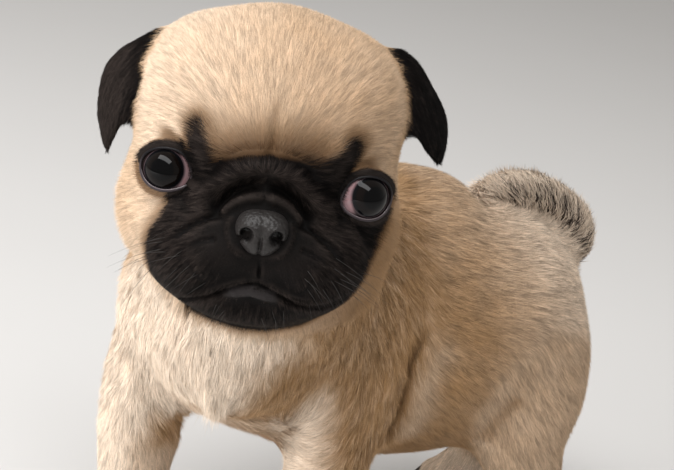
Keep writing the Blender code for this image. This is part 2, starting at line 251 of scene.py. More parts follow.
# The skin: grain of its grid in metres, growth past the cuts in mm, rounds of evening and triangles kept.
skinSettings = {"grain": 0.00135, "overCut": 0.45, "rounds": 22, "triangles": 196000}
fleshNames = ("head", "muzzle", "neck", "chest", "belly", "rump", "tail", "ear_left", "ear_right",
              "foreleg_left", "foreleg_right", "forepaw_left", "forepaw_right", "thigh_left", "thigh_right",
              "hindleg_left", "hindleg_right", "hindpaw_left", "hindpaw_right")
smoothingShare = {"tail": 0.35, "ear_left": 0.3, "ear_right": 0.3, "forepaw_left": 0.3, "forepaw_right": 0.3,
                  "hindpaw_left": 0.3, "hindpaw_right": 0.3, "muzzle": 0.8}

# Depth of the coat under its tips (mm), tuft length and width (mm), tufts for each square mm, lift (degrees).
coatSettings = {
    "head": (0.9, 4.4, 0.17, 14.5, 9.0),
    "muzzle": (0.5, 2.3, 0.15, 21.0, 10.0),
    "neck": (1.6, 7.0, 0.21, 12.0, 10.0),
    "chest": (1.6, 7.0, 0.21, 10.9, 9.5),
    "belly": (1.2, 5.4, 0.20, 12.0, 9.0),
    "rump": (1.2, 5.4, 0.20, 11.6, 9.0),
    "thigh": (1.2, 5.2, 0.20, 11.6, 9.0),
    "leg": (0.9, 4.2, 0.19, 13.5, 9.0),
    "paw": (0.6, 2.7, 0.17, 17.0, 9.0),
    "tail": (2.0, 9.5, 0.24, 11.0, 26.0),
    "ear": (0.4, 2.4, 0.16, 21.0, 7.0),
}


def coatKind(name):
    # the row of coatSettings that a node's coat follows
    for word, kind in (("ear", "ear"), ("paw", "paw"), ("leg", "leg"), ("thigh", "thigh")):
        if word in name:
            return kind
    return name


def fleshSource(name, swell):
    # a node's merged triangles with each corner moved out by swell along its normal
    work = bmesh.new()
    work.from_mesh(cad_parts[name].data)
    bmesh.ops.remove_doubles(work, verts=work.verts, dist=1e-6)
    bmesh.ops.recalc_face_normals(work, faces=work.faces)
    mesh = bpy.data.meshes.new("source")
    work.to_mesh(mesh)
    work.free()
    points, normals = readMesh(mesh)
    triangles = readTriangles(mesh)
    bpy.data.meshes.remove(mesh)
    return points + normals * swell * 0.001, np.zeros((0, 4), int), triangles


def fusedSkin():
    # the flesh nodes, swollen past their cuts, with shrunk eyes and nose, fused on a fine grid
    parts = [fleshSource(name, skinSettings["overCut"]) for name in fleshNames]
    parts += [fleshSource(name, -1.0) for name in ("eye_left", "eye_right", "nose")]
    piece = makePiece("skin", *joinParts(parts))
    fuse = piece.modifiers.new("fuse", "REMESH")
    fuse.mode = "VOXEL"
    fuse.voxel_size = skinSettings["grain"]
    graph = bpy.context.evaluated_depsgraph_get()
    mesh = bpy.data.meshes.new_from_object(piece.evaluated_get(graph))
    piece.modifiers.clear()
    piece.data = mesh
    mesh.shade_smooth()
    return piece


# Nearest nodes: about how many places stand for each node, and how many points are looked up at once.
labelSettings = {"places": 450, "batch": 8192}


def nodeLabels(points):
    # index of the flesh node whose triangles' middles are nearest to each point
    clouds, owners = [], []
    for index, name in enumerate(fleshNames):
        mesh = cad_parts[name].data
        corners, _ = readMesh(mesh)
        middles = corners[readTriangles(mesh)].mean(1)
        middles = middles[::max(1, len(middles) // labelSettings["places"])]
        clouds.append(middles)
        owners.append(np.full(len(middles), index))
    cloud = np.concatenate(clouds).astype(np.float32)
    owner = np.concatenate(owners)
    half = 0.5 * (cloud ** 2).sum(1)
    nearest = np.empty(len(points), int)
    batch = labelSettings["batch"]
    for start in range(0, len(points), batch):
        part = points[start:start + batch].astype(np.float32)
        nearest[start:start + batch] = np.argmin(half[None] - part @ cloud.T, axis=1)
    return owner[nearest]


def refine(piece, inside):
    # splits every edge whose ends are both inside a region once
    work = bmesh.new()
    work.from_mesh(piece.data)
    work.verts.ensure_lookup_table()
    points, _ = readMesh(piece.data)
    chosen = inside(points)
    edges = [edge for edge in work.edges if chosen[edge.verts[0].index] and chosen[edge.verts[1].index]]
    bmesh.ops.subdivide_edges(work, edges=edges, cuts=1, use_grid_fill=True)
    work.to_mesh(piece.data)
    work.free()
    piece.data.shade_smooth()


def inFace(points):
    # within the box that holds the face
    h = toHead(points)
    return (np.abs(h[:, 0]) < 42) & (h[:, 1] < -9) & (h[:, 2] > -50) & (h[:, 2] < 33)


def nearFeature(points):
    # near an eye, or in the box round the nose and the lips' middle
    h = toHead(points)
    close = np.zeros(len(h), bool)
    for side in (-1, 1):
        close |= np.linalg.norm(h - np.array(eyePlace["at"]) * (side, 1, 1), axis=1) < 12.6
    nose = (np.abs(h[:, 0]) < 17) & (h[:, 1] < -30) & (h[:, 2] > -31) & (h[:, 2] < 13)
    return close | nose


# Strokes that shape the face, width and height in mm. Those on both sides are given on the puppy's left.
faceStrokes = {
    "noseRoll": (((11.0, -38.5, -1.8), (8.6, -39.3, 1.0), (4.8, -39.5, 2.9), (0, -39.5, 3.6)), 1.6, 1.9),
    "overRoll": (((14.0, -37.0, -2.6), (12.3, -37.3, 0.2), (9.6, -37.3, 3.2), (5.4, -37.6, 5.6),
                  (0, -37.8, 6.5)), 1.9, -3.7),
    "underRoll": (((9.5, -41, -2.6), (7.8, -41, -0.8), (4.2, -41.5, 0.7), (0, -42, 1.0)), 0.7, -1.2),
    "outerFold": (((0, -37, 11.0), (6.5, -37, 9.8), (12.5, -37, 5.6), (18.0, -35, 1.0), (23.0, -33.5, -3.6),
                   (27.0, -34, -7.5), (31.2, -32.5, -11.8)), 2.0, 2.0),
    "overFold": (((0, -36.5, 15.4), (8, -36, 14.0), (15.5, -35, 9.0), (20.5, -34, 4.0), (25.0, -33, -1.4)),
                 1.4, -1.1),
    "flewTop": (((12.2, -38, -4.6), (16.5, -37.8, -5.8), (21.3, -38, -9.6), (25.0, -38, -15.5)), 1.2, -2.2),
    "flewLine": (((13.5, -41, -11.0), (18.0, -40.5, -13.0), (21.5, -39.5, -17.5)), 0.9, -0.8),
    "flew": (((9, -42, -14.0), (13.5, -42.5, -17), (17.5, -42, -21.5)), 5.4, 1.8),
    "cheekPad": (((25, -35, -21), (28, -31, -16)), 4.5, 0.7),
    "lowerLip": (((0, -40.5, -26.6), (6, -40, -28.6)), 1.4, 0.9),
    "chin": (((0, -36, -35), (8, -34, -36)), 6.0, 0.8),
    "brow": (((17, -33, 15.5), (21.5, -31.5, 19)), 4.0, 1.1),
    "browCrease": (((13, -35.5, 12), (15.5, -35, 17.5), (15.5, -34, 23)), 1.7, -0.6),
    "crease": (((0, -36.5, 16), (0, -36, 21), (0.4, -33.5, 28)), 1.8, -0.9),
    "sideNose": (((8.8, -40, -4), (9.2, -40.5, -7.5), (7.2, -42, -11.5), (2.6, -43.5, -13.8)), 1.3, 0.7),
    "cheekFold": (((34, -24, -14), (35, -26, -22), (31, -30, -30)), 2.0, -0.8),
    "underEye": (((16, -32, -2.5), (22, -31, -8.5), (30, -29, -10.5), (36, -24, -7.0)), 1.5, -0.6),
}
# Strokes that differ from side to side: the lip line hangs lower on the puppy's right.
lipStrokes = {
    "philtrum": (((0.4, -45, -12), (1.2, -43.5, -17), (1.6, -42, -21.0)), 0.6, -1.7),
    "lipLeft": (((1.6, -42, -23.6), (4.9, -40.5, -24.8), (10.3, -40, -27.0), (15.1, -39.5, -28.2),
                 (21.9, -38, -28.0), (28.0, -36, -25.0)), 0.8, -1.5),
    "lipRight": (((1.6, -42, -23.6), (-2.0, -41, -24.3), (-6.5, -40.5, -26.3), (-10.0, -40, -28.1),
                  (-14.5, -38.5, -30.6), (-20.0, -34, -34.6), (-24.5, -29, -38.0)), 0.8, -1.5),
    "cornerLeft": (((9, -40, -26.6), (15.1, -39.5, -28.2), (21.9, -38, -28.0), (28.0, -36, -25.0)),
                   1.0, -1.5),
    "cornerRight": (((-8.0, -40, -27.2), (-14.5, -38.5, -30.6), (-20.0, -34, -34.6), (-24.5, -29, -38.0)),
                    1.0, -1.5),
    "edgeLeft": (((6, -42, -23.2), (10, -41.5, -24.8), (15, -41, -26.0), (22, -39.5, -25.8)), 1.2, 0.9),
    "edgeRight": (((-3, -42, -22.7), (-7, -41.5, -24.3), (-13, -40.5, -27.4), (-19, -38, -29.8)), 1.2, 0.9),
}

# Folds of the loose skin behind the elbow and before the thigh, in millimetres in the room.
bodyStrokes = {
    "elbowFold": (((30.3, 10.4, 117.8), (29.8, 8.6, 111.2), (28.0, 5.7, 98.1), (24.8, 6.9, 77.5),
                   (21.2, 8.0, 62.5)), 2.2, -2.6),
    "elbowRidge": (((27.0, 1.0, 104.0), (25.0, -3.0, 90.0), (22.0, -1.5, 74.0)), 5.0, 1.6),
    "thighFold": (((37.5, 43.9, 58.5), (44.0, 45.0, 71.0), (48.5, 50.0, 84.0)), 5.0, -1.0),
    "farElbowFold": (((-62.0, -6.0, 112.0), (-60.0, -12.0, 96.0), (-55.0, -12.0, 78.0), (-46.0, -10.0, 66.0)),
                     3.0, -2.2),
}


# Paws: node, middle in the room (mm) and turn. Toes: place in the paw's frame and turn, and their grooves.
pawRows = (("forepaw_left", 18.9, -20.1, 21.0), ("forepaw_right", -34.9, -68.8, 21.0),
           ("hindpaw_left", 44.8, 66.1, -14.0), ("hindpaw_right", -6.5, 91.1, -22.0))
toeRows = ((-9.0, -7.0, -14.0), (-3.4, -11.0, -4.0), (3.4, -11.0, 4.0), (9.0, -7.0, 14.0))
toeGrooves = {"across": (-6.4, 0.0, 6.4), "width": 1.0, "depth": 1.5}


def pawPoint(row, points):
    # from a paw's own frame (x left, -y forward) to metres in the room
    turned = np.asarray(points, float) @ turnMatrix("Z", row[3]).T
    return (turned + (row[1], row[2], 0.0)) / 1000.0


def sculptToes(points, normals):
    # each groove is depth * exp(-((x - groove) / width)^2) in the paw's frame, fading upwards and backwards
    lift = np.zeros(len(points))
    for _, x, y, turn in pawRows:
        local = (points * 1000.0 - (x, y, 0.0)) @ turnMatrix("Z", turn)
        near = smooth(15.0, 9.0, local[:, 2]) * smooth(-1.0, -6.0, local[:, 1]) * (np.abs(local[:, 0]) < 16)
        near = near * (local[:, 1] > -24)
        for groove in toeGrooves["across"]:
            spread = groove * (1.0 - 0.012 * (local[:, 1] + 8.0))
            lift -= toeGrooves["depth"] * near * np.exp(-((local[:, 0] - spread) / toeGrooves["width"]) ** 2)
    return points + normals * (lift * 0.001)[:, None]


def onPaws(points):
    # low enough, and near enough to the middle of a paw, to belong to its toes
    close = np.zeros(len(points), bool)
    for _, x, y, _ in pawRows:
        close |= np.linalg.norm(points[:, :2] * 1000.0 - (x, y), axis=1) < 19
    return close & (points[:, 2] < 0.0155)


# How much of each direction counts in the distance to a fold of the body's side.
foldSquash = np.array((0.3, 1.0, 1.0))


def alongFold(points, line):
    # distance in mm to a fold of the body's side, in which depth counts less, and the share of its length
    away, _, share = nearestOnPath(points * 1000.0 * foldSquash, curvePoints(line, 6) * foldSquash)
    return away, share


def sculptBody(points, normals):
    # moves each point along its normal by the sum of height * exp(-(distance / width)^2) over the folds
    lift = np.zeros(len(points))
    for line, width, height in bodyStrokes.values():
        away, share = alongFold(points, line)
        fade = smooth(0.0, 0.2, share) * smooth(1.0, 0.8, share)
        lift += height * fade * np.exp(-(away / width) ** 2)
    return points + normals * (lift * 0.001)[:, None]


def sculptFace(points, normals):
    # moves each point along its normal by the sum of height * exp(-(distance / width)^2) over the strokes
    h = toHead(points)
    near = (h[:, 1] < -10) & (h[:, 2] > -50) & (h[:, 2] < 36)
    h = h[near]
    mirrored = np.concatenate([np.abs(h[:, :1]), h[:, 1:]], 1)
    lift = np.zeros(len(points))
    for strokes, places in ((faceStrokes, mirrored), (lipStrokes, h)):
        for line, width, height in strokes.values():
            away, _, share = nearestOnPath(places, curvePoints(line, 7))
            fade = 1.0 - 0.55 * smooth(0.75, 1.0, share)
            lift[near] += height * fade * np.exp(-(away / width) ** 2)
    return points + normals * (lift * 0.001)[:, None]


def lidAngle(around, side):
    # half angle of the opening at an angle around its axis (0 nasal, 90 up): tall + (wide - tall) * cos^2,
    # with a bump at each corner
    tall, wide = eyePlace["tall"][side], eyePlace["wide"][side]
    angle = tall + (wide - tall) * np.cos(np.radians(around)) ** 2
    for height, place, spread in (eyePlace["nasalCorner"], eyePlace["outerCorner"], eyePlace["upperLid"]):
        angle = angle + height * np.exp(-(((around - place + 180) % 360 - 180) / spread) ** 2)
    return angle


def eyeFrame(side):
    # centre, axis, nasal direction and upward direction of one eye in the head's frame
    centre = np.array(eyePlace["at"]) * (side, 1, 1)
    axis = unit(np.array(eyePlace["axis"][side]))
    nasal = np.array((-side, 0.0, 0.0))
    nasal = unit(nasal - axis * (nasal @ axis))
    up = np.cross(nasal, axis) * side
    up = up if up[2] > 0 else -up
    return centre, axis, nasal, up


def aroundEye(h, side):
    # distance from the eye's middle, angle past the edge of its opening, share that is upper lid, and place
    # from the middle
    centre, axis, nasal, up = eyeFrame(side)
    v = h - centre
    r = np.linalg.norm(v, axis=1)
    angle = np.degrees(np.arccos(np.clip(v @ axis / np.maximum(r, 1e-6), -1, 1)))
    around = np.degrees(np.arctan2(v @ up, v @ nasal))
    return r, angle - lidAngle(around, side), smooth(-0.15, 0.55, np.sin(np.radians(around))), v


def openLids(points):
    # skin inside the opening sinks behind the eyeball; the skin beside it wraps the ball as a lid,
    # thicker above, with a shallow crease where the upper lid folds
    h = toHead(points)
    ball = eyePlace["radius"]
    for side in (-1, 1):
        r, past, upper, v = aroundEye(h, side)
        lid = ball + 0.4 + (0.55 + 0.75 * upper) * smooth(0, 9, past)
        lid -= 0.5 * upper * np.exp(-((past - 23) / 4.5) ** 2)
        hold = smooth(36 - 6 * (1 - upper), 8, past)
        target = np.where(past < 0, ball - 1.6, np.maximum(r + (lid - r) * hold, ball + 0.4))
        moved = h - v + v / np.maximum(r, 1e-6)[:, None] * target[:, None]
        h = np.where(((r < 17) & (past < 95))[:, None], moved, h)
    return fromHead(h)


def calmCorners(points, edges):
    # evens out the skin that the lids have pulled, outside their rims
    h = toHead(points)
    share = np.zeros(len(points))
    for side in (-1, 1):
        r, past, _, _ = aroundEye(h, side)
        share = np.maximum(share, smooth(9, 15, past) * smooth(24, 17, r))
    return relax(points, edges, 0.6 * share[:, None], 16)


def thinSkin(piece):
    # collapses the shortest edges of the flattest places until the skin has the number of triangles asked for
    thin = piece.modifiers.new("thin", "DECIMATE")
    thin.ratio = skinSettings["triangles"] / len(skinTriangles)
    graph = bpy.context.evaluated_depsgraph_get()
    mesh = bpy.data.meshes.new_from_object(piece.evaluated_get(graph), preserve_all_data_layers=True,
                                           depsgraph=graph)
    piece.modifiers.clear()
    piece.data = mesh
    print("skin is thinned to", len(readTriangles(mesh)), "triangles")


def buildSkin():
    # fused, evened, moved in by the coat's depth, then split finer where the face and toes are shaped
    piece = fusedSkin()
    points, _ = readMesh(piece.data)
    edges = readEdges(piece.data)
    labels = nodeLabels(points)
    share = np.array([smoothingShare.get(name, 1.0) for name in fleshNames])[labels]
    share = relax(share[:, None], edges, 1.0, 4)
    points = relax(points, edges, 0.6 * share, skinSettings["rounds"])
    writePoints(piece.data, points)
    weights = relax(np.eye(len(fleshNames))[nodeLabels(points)], edges, 1.0, 5)
    depth = weights @ np.array([coatSettings[coatKind(name)][0] for name in fleshNames])
    points, normals = readMesh(piece.data)
    points = points - normals * ((depth + skinSettings["overCut"]) * 0.001)[:, None]
    points = sculptBody(points, normals)
    writePoints(piece.data, points)
    refine(piece, lambda points: inFace(points) | onPaws(points))
    refine(piece, nearFeature)
    points, _ = readMesh(piece.data)
    points = relax(points, readEdges(piece.data), 0.4, 2)
    writePoints(piece.data, points)
    points, normals = readMesh(piece.data)
    points = sculptFace(points, normals)
    points = sculptToes(points, normals)
    points = openLids(points)
    points = calmCorners(points, readEdges(piece.data))
    points[:, 2] = np.maximum(points[:, 2], 0.0004)
    writePoints(piece.data, points)
    return piece


print("skin")
skin = buildSkin()
skinPoints, skinNormals = readMesh(skin.data)
skinEdges = readEdges(skin.data)
skinTriangles = readTriangles(skin.data)
print("skin has", len(skinTriangles), "triangles")
nodeWeights = relax(np.eye(len(fleshNames))[nodeLabels(skinPoints)], skinEdges, 1.0, 8)
nodeIndex = {name: index for index, name in enumerate(fleshNames)}


def weightOf(weights, *words):
    # summed weight of the nodes whose names hold one of the words
    return sum(weights[:, index] for name, index in nodeIndex.items() if any(word in name for word in words))


# Lines that the coat follows, in metres in the room; those of the ears are in mm in the head's frame.
tailPath = curvePoints(((20.4, 86.0, 116.0), (23.4, 93.0, 128.0), (23.4, 90.5, 139.5), (16.9, 78.5, 148.5),
                        (11.4, 66.5, 151.0), (7.4, 55.0, 151.0)), 6) / 1000.0
tailLoopMiddle = np.array((9.0, 66.0, 122.0)) / 1000.0
spinePath = curvePoints(((1.4, -54.0, 112.0), (-14.6, -29.0, 107.0), (-15.6, -3.0, 104.0),
                         (-7.6, 25.0, 101.0), (5.4, 47.0, 99.5), (18.0, 78.0, 101.5)), 6) / 1000.0
earPaths = {
    1: ((33, 8.5, 37.5), (40.5, 6.5, 36.5), (46.5, 5.5, 29), (51.5, 5, 21), (54.5, 4.5, 14), (56, 4, 9.5)),
    -1: ((-33, 8, 34.5), (-40.5, 6, 32), (-47.5, 4.5, 23), (-50.5, 2, 11.5), (-50.5, 0, 3.5),
         (-50, -1.5, -0.5)),
}
# Places on the chest that the hair runs to (mm in the room), with reach and pull.
chestSwirls = (((12.0, -36.0, 80.0), 33.0, 2.4), ((16.0, -72.0, 96.0), 26.0, 2.6))


def coatFlow(points, normals, weights):
    # blend over the nodes of the way the hair points, laid into the surface
    h = toHead(points)
    side = np.sign(h[:, :1])
    away = unit(h - (0, -47, 1))
    back = np.concatenate([0 * side, np.full_like(side, 0.35), -0.12 - 0.010 * np.abs(h[:, :1])], 1)
    flow = weightOf(weights, "head", "muzzle")[:, None] * (away + back) @ headTurn.T
    _, spine, _ = nearestOnPath(points, spinePath)
    down = np.array((0.0, 0.0, -1.0))
    low = smooth(0.125, 0.070, points[:, 2])[:, None]
    flow += weightOf(weights, "neck")[:, None] * np.array((-0.33, 0.39, -0.87))
    chest = 0.5 * spine + 1.1 * down
    for place, reach, pull in chestSwirls:
        to = np.array(place) / 1000.0 - points
        near = np.exp(-(np.linalg.norm(to, axis=1) * 1000.0 / reach) ** 2)
        chest = chest + (pull * near)[:, None] * unit(to)
    flow += weightOf(weights, "chest")[:, None] * unit(chest)
    flow += weightOf(weights, "belly", "rump")[:, None] * unit(spine + (0.25 + 0.75 * low) * down)
    flow += weightOf(weights, "thigh")[:, None] * unit(0.6 * spine + down)
    flow += weightOf(weights, "leg")[:, None] * np.array((0.0, 0.12, -1.0))
    flow += weightOf(weights, "paw")[:, None] * np.array((0.1, -0.8, -0.8))
    _, tail, _ = nearestOnPath(points, tailPath)
    flow += weightOf(weights, "tail")[:, None] * (tail + 0.9 * unit(points - tailLoopMiddle))
    for ear, stations in earPaths.items():
        _, along, _ = nearestOnPath(h, curvePoints(stations, 5))
        flow += weightOf(weights, "ear_left" if ear > 0 else "ear_right")[:, None] * (along @ headTurn.T)
    flow = flow - normals * (flow * normals).sum(1)[:, None]
    flow = relax(unit(flow), skinEdges, 1.0, 6)
    return unit(flow - normals * (flow * normals).sum(1)[:, None])


skinFlow = coatFlow(skinPoints, skinNormals, nodeWeights)
# How far each point stands out of the evened skin, in mm: above 0 on crests and below 0 in grooves. Crests in
# the black are given painted highlights from it.
skinRelief = ((skinPoints - relax(skinPoints, skinEdges, 1.0, 24)) * skinNormals).sum(1) * 1000.0

# Outline of the black mask in the head's frame (x to the puppy's left, z up), through both eyes.
maskOutline = np.array((
    (0, 13.6), (-6, 12.6), (-13, 10.6), (-17.5, 11.5), (-21, 9), (-29.4, 2.8), (-28.2, -5.5), (-29.5, -9),
    (-32, -13.5), (-32.6, -18), (-31.8, -22.5), (-30.2, -29), (-28.0, -35), (-24.5, -41), (-19, -46.5),
    (-11.8, -48.8), (-1, -49.0), (7, -47.5), (17.2, -43.0), (24, -36.5), (29.6, -26.5), (32.8, -20),
    (34.0, -15), (35.2, -9.7), (38.2, -4.8), (39.4, 1), (29.4, 2.8), (21, 9), (17.6, 12.5),
    (8.7, 13.8)), float)
# Dark smudges over the eyes: path, and half width in mm at its lower and upper end.
browSmudges = ((((-18.8, -34, 9.5), (-19.9, -32, 14.5), (-20.6, -30.5, 18.6)), 7.6, 4.4),
               (((19.8, -33, 11.0), (21.9, -31, 15.0), (23.0, -29.8, 18.8)), 9.5, 4.6))
# Painted shade in the folds of the body, brown: name, width in mm and strength.
foldShadeRows = (("elbowFold", 2.3, 0.95), ("farElbowFold", 2.0, 0.4), ("thighFold", 2.6, 0.25))
# The band behind the fold of the left elbow, painted paler as light on its ridge (mm in the room).
foldRidgeLight = ((31.5, 16.0, 103.0), (31.0, 13.0, 92.0), (29.0, 14.0, 80.0), (26.0, 15.0, 68.0))
# Ways that the front and the right side of the chest and the front of the legs face.
chestFront = unit(np.array((0.25, -0.93, -0.25)))
chestSide = np.array((-0.93, -0.35, 0.0))
legFront = unit(np.array((-0.55, -0.83, 0.0)))
# Shares of pale and of dark-tipped hair of parts that are alike all over.
plainPale = {"hindleg": 0.35, "paw": 0.7, "thigh": 0.38}
plainTicking = {"thigh": 0.45, "neck": 0.35, "leg": 0.15, "head": 0.08, "muzzle": 0.08}


def insideOutline(x, z, outline):
    # distance to a closed outline, positive within it: a line from a point within crosses the edge odd times
    flat = np.stack([x, z, 0 * x], 1)
    ring = np.concatenate([outline, outline[:1]])
    away, _, _ = nearestOnPath(flat, np.concatenate([ring, 0 * ring[:, :1]], 1))
    crossings = np.zeros(len(x), int)
    for (x0, z0), (x1, z1) in zip(ring[:-1], ring[1:]):
        spans = (z0 > z) != (z1 > z)
        crossings += spans & (x < x0 + (z - z0) * (x1 - x0) / (z1 - z0 if z1 != z0 else 1.0))
    return np.where(crossings % 2 == 1, away, -away)


def faceMarks(points, weights):
    # black and brown shares of the face's mask, soft towards the forehead and crisp elsewhere
    h = toHead(points)
    x, y, z = h.T
    head = np.clip(weightOf(weights, "head", "muzzle") + weightOf(weights, "neck"), 0, 1)
    front = smooth(-13, -18, y - 1.9 * np.clip(-36 - z, 0, 9) * smooth(31, 14, np.abs(x)))
    edge = insideOutline(x, z, maskOutline)
    between = smooth(3, 10, z) * smooth(26, 19, np.abs(x))
    soft = 1.1 + 4.2 * between
    mask = smooth(-soft, soft, edge + 0.8 * between)
    reach = 3.2 + 12.5 * between
    brown = smooth(-reach, 0.0, edge) * (0.75 + 0.25 * between)
    brown = np.maximum(brown, 0.5 * np.exp(-(x / 1.5) ** 2) * smooth(11, 17, z) * smooth(31, 24, z))
    for side in (-1, 1):
        r, past, upper, _ = aroundEye(h, side)
        near = smooth(15.2, 12.6, r)
        mask = np.maximum(mask, smooth(3 + 13 * upper, 6 * upper - 0.5, past) * near)
        brown = np.maximum(brown, smooth(26 + 16 * upper, 6 + 14 * upper, past) * near * 0.85)
    for line, low, high in browSmudges:
        away, _, share = nearestOnPath(h, curvePoints(line, 5))
        size = low + (high - low) * share
        mask = np.maximum(mask, smooth(1.05, 0.3, away / size) * (1.0 - 0.2 * share))
        brown = np.maximum(brown, smooth(1.8, 0.6, away / size) * 0.85)
    return mask * front * head, brown * front * head


def bodyPale(points, normals, weights, h):
    # pale hair of the body: most on the front of the chest, then on the feet, rump and fronts of the legs,
    # with painted light where the body faces the lamps and on top, and painted shade under the chest
    facing = smooth(0.40, 0.92, normals @ chestFront) * smooth(-0.004, -0.036, points[:, 1])
    # painted shade: less pale where the chest faces down; painted light: paler on its right side, which faces
    # the lamps
    facing *= 0.5 + 0.5 * smooth(-0.85, -0.35, normals[:, 2])
    pale = weightOf(weights, "chest") * (0.06 + 1.05 * facing + 0.11 * smooth(0.1, 0.9, normals @ chestSide))
    throat = smooth(0.0, 0.8, normals @ chestFront)
    # painted light: the neck paler on the puppy's right
    pale += weightOf(weights, "neck") * (0.08 + 0.28 * throat + 0.15 * smooth(12, -34, h[:, 0]))
    # the fronts of the legs face the lamps: their paleness is partly painted light
    ahead = smooth(-0.2, 0.9, normals @ legFront)
    pale += weightOf(weights, "foreleg") * (0.10 + 0.52 * ahead)
    pale += weightOf(weights, "foreleg_right") * (0.1 + 0.4 * smooth(0.088, 0.050, points[:, 2]))
    for word, share in plainPale.items():
        pale += weightOf(weights, word) * share
    trunk = weightOf(weights, "belly", "rump")
    pale += trunk * (0.06 + 0.66 * smooth(0.02, 0.08, points[:, 1]) * smooth(0.05, 0.09, points[:, 2]))
    # painted light: the top of the trunk paler
    pale += trunk * 0.18 * smooth(0.1, 0.9, normals[:, 2])
    return pale


def headPaleAndLight(h):
    # pale hair of the head with painted light: more to the puppy's right, where the light falls, and painted
    # shade:
    # less on the right cheek and low on the left
    x, z = np.abs(h[:, 0]), h[:, 2]
    pale = 0.34 + 0.27 * smooth(12, -34, h[:, 0])
    pale -= 0.20 * smooth(5, -25, h[:, 0]) * smooth(30, 42, x) * smooth(16, -2, z)
    return pale - 0.25 * smooth(22, 38, h[:, 0]) * smooth(10, -10, z)


def tickingShare(normals, weights):
    # hair with dark tips: most on the back, less on the flanks, least on legs and head
    ticking = weightOf(weights, "belly", "rump") * (0.55 + 0.25 * smooth(-0.2, 0.8, normals[:, 2]))
    ticking += weightOf(weights, "chest") * 0.65 * smooth(0.6, 0.2, normals @ chestFront)
    for word, share in plainTicking.items():
        ticking += weightOf(weights, word) * share
    return ticking


def markings(points, normals, weights, relief):
    # black mask, warm brown edge, pale hair and dark-tipped hair, each 0 to 1, from places on the body;
    # the brown also holds painted shade, and where the coat is black, the pale number is painted highlight:
    # how far the crests of the folds are lit up to a dark brown
    h = toHead(points)
    mask, brown = faceMarks(points, weights)
    head = weightOf(weights, "head", "muzzle")
    ears = weightOf(weights, "ear")
    neck = weightOf(weights, "neck")
    pale = bodyPale(points, normals, weights, h) + head * headPaleAndLight(h)
    # painted shade: brown on the underside and under the left cheek
    brown += 0.22 * weightOf(weights, "belly", "rump") * smooth(-0.05, -0.65, normals[:, 2])
    cheek = smooth(10, 32, h[:, 0]) * smooth(6, -14, h[:, 2]) * smooth(10, -12, h[:, 1])
    brown += 0.36 * (neck + head) * (1 - mask) * cheek
    # painted highlight: the crests of the folds lit up in the black
    litCrest = smooth(-0.12, 0.42, relief)
    pale *= 1.0 - 0.7 * np.clip(brown, 0, 1)
    dark = np.clip(mask, 0, 1)
    pale = np.clip(pale, 0, 1) * (1 - dark) + dark * (0.02 + 0.62 * litCrest)
    ticking = tickingShare(normals, weights)
    # ears: painted light on the right one's flap, lit up to brown at its outer half
    mask = np.maximum(mask, smooth(0.35, 0.75, ears))
    litFlap = weightOf(weights, "ear_right") * smooth(-42, -50, h[:, 0])
    pale = pale * (1 - smooth(0.35, 0.75, ears)) + 0.75 * litFlap
    # the tail is cream at its tip and edge and dark towards the body
    tail = weightOf(weights, "tail")
    outer = (points - tailLoopMiddle) * (0.5, 1.0, 1.0)
    inner = smooth(0.75, -0.35, (unit(outer) * normals).sum(1))
    _, _, share = nearestOnPath(points, tailPath)
    pale += tail * 0.9
    mask = np.maximum(mask, tail * (0.20 + 0.56 * inner) * smooth(1.05, 0.70, share))
    return {"mask": np.clip(mask, 0, 1), "brown": np.clip(brown, 0, 1),
            "pale": np.clip(pale, 0, 1), "ticking": np.clip(ticking, 0, 1)}


def foldShade(points):
    # two shares: brown as painted shade in the folds of the body, exp(-(distance / width)^2) across each and
    # fading to its ends, and pale as painted light on the band behind the elbow
    brown = np.zeros(len(points))
    for name, width, strength in foldShadeRows:
        away, share = alongFold(points, bodyStrokes[name][0])
        brown += strength * np.exp(-(away / width) ** 2) * smooth(0.0, 0.25, share) * smooth(1.0, 0.92, share)
    away, _ = alongFold(points, foldRidgeLight)
    return brown, 0.30 * np.exp(-(away / 5.5) ** 2)


def setVector(mesh, name, x, y, z):
    # three numbers for each point as one attribute
    attribute = mesh.attributes.new(name, "FLOAT_VECTOR", "POINT")
    attribute.data.foreach_set("vector", np.stack([x, y, z], 1).astype(np.float32).ravel())


def setValue(mesh, name, values):
    # one number for each point as an attribute
    attribute = mesh.attributes.new(name, "FLOAT", "POINT")
    attribute.data.foreach_set("value", values.astype(np.float32))


# Colours of the coat, from the body of a hair to its root and tip.
coatColours = {
    "fawn": (0.42, 0.248, 0.115),
    "pale": (0.78, 0.655, 0.53),
    "brown": (0.078, 0.036, 0.016),
    "black": (0.0034, 0.0027, 0.0025),
    # dark brown that black hair lightens to: painted highlight on the face's crests, glints and the right
    # ear's flap, the dark hair's own tone on the tail
    "darkBrownAndSheen": (0.029, 0.022, 0.019),
    "tip": (0.070, 0.045, 0.028),
    "root": (0.30, 0.19, 0.11),
}


def addNode(tree, kind, **values):
    # one node with its inputs, or else its own settings, given by name
    node = tree.nodes.new(kind)
    for key, value in values.items():
        if key in node.inputs:
            node.inputs[key].default_value = value
        else:
            setattr(node, key, value)
    return node


def addTexture(tree, kind, **values):
    # a texture that is laid out by places on the piece itself
    node = addNode(tree, kind, **values)
    coords = tree.nodes.new("ShaderNodeTexCoord")
    tree.links.new(coords.outputs["Object"], node.inputs["Vector"])
    return node


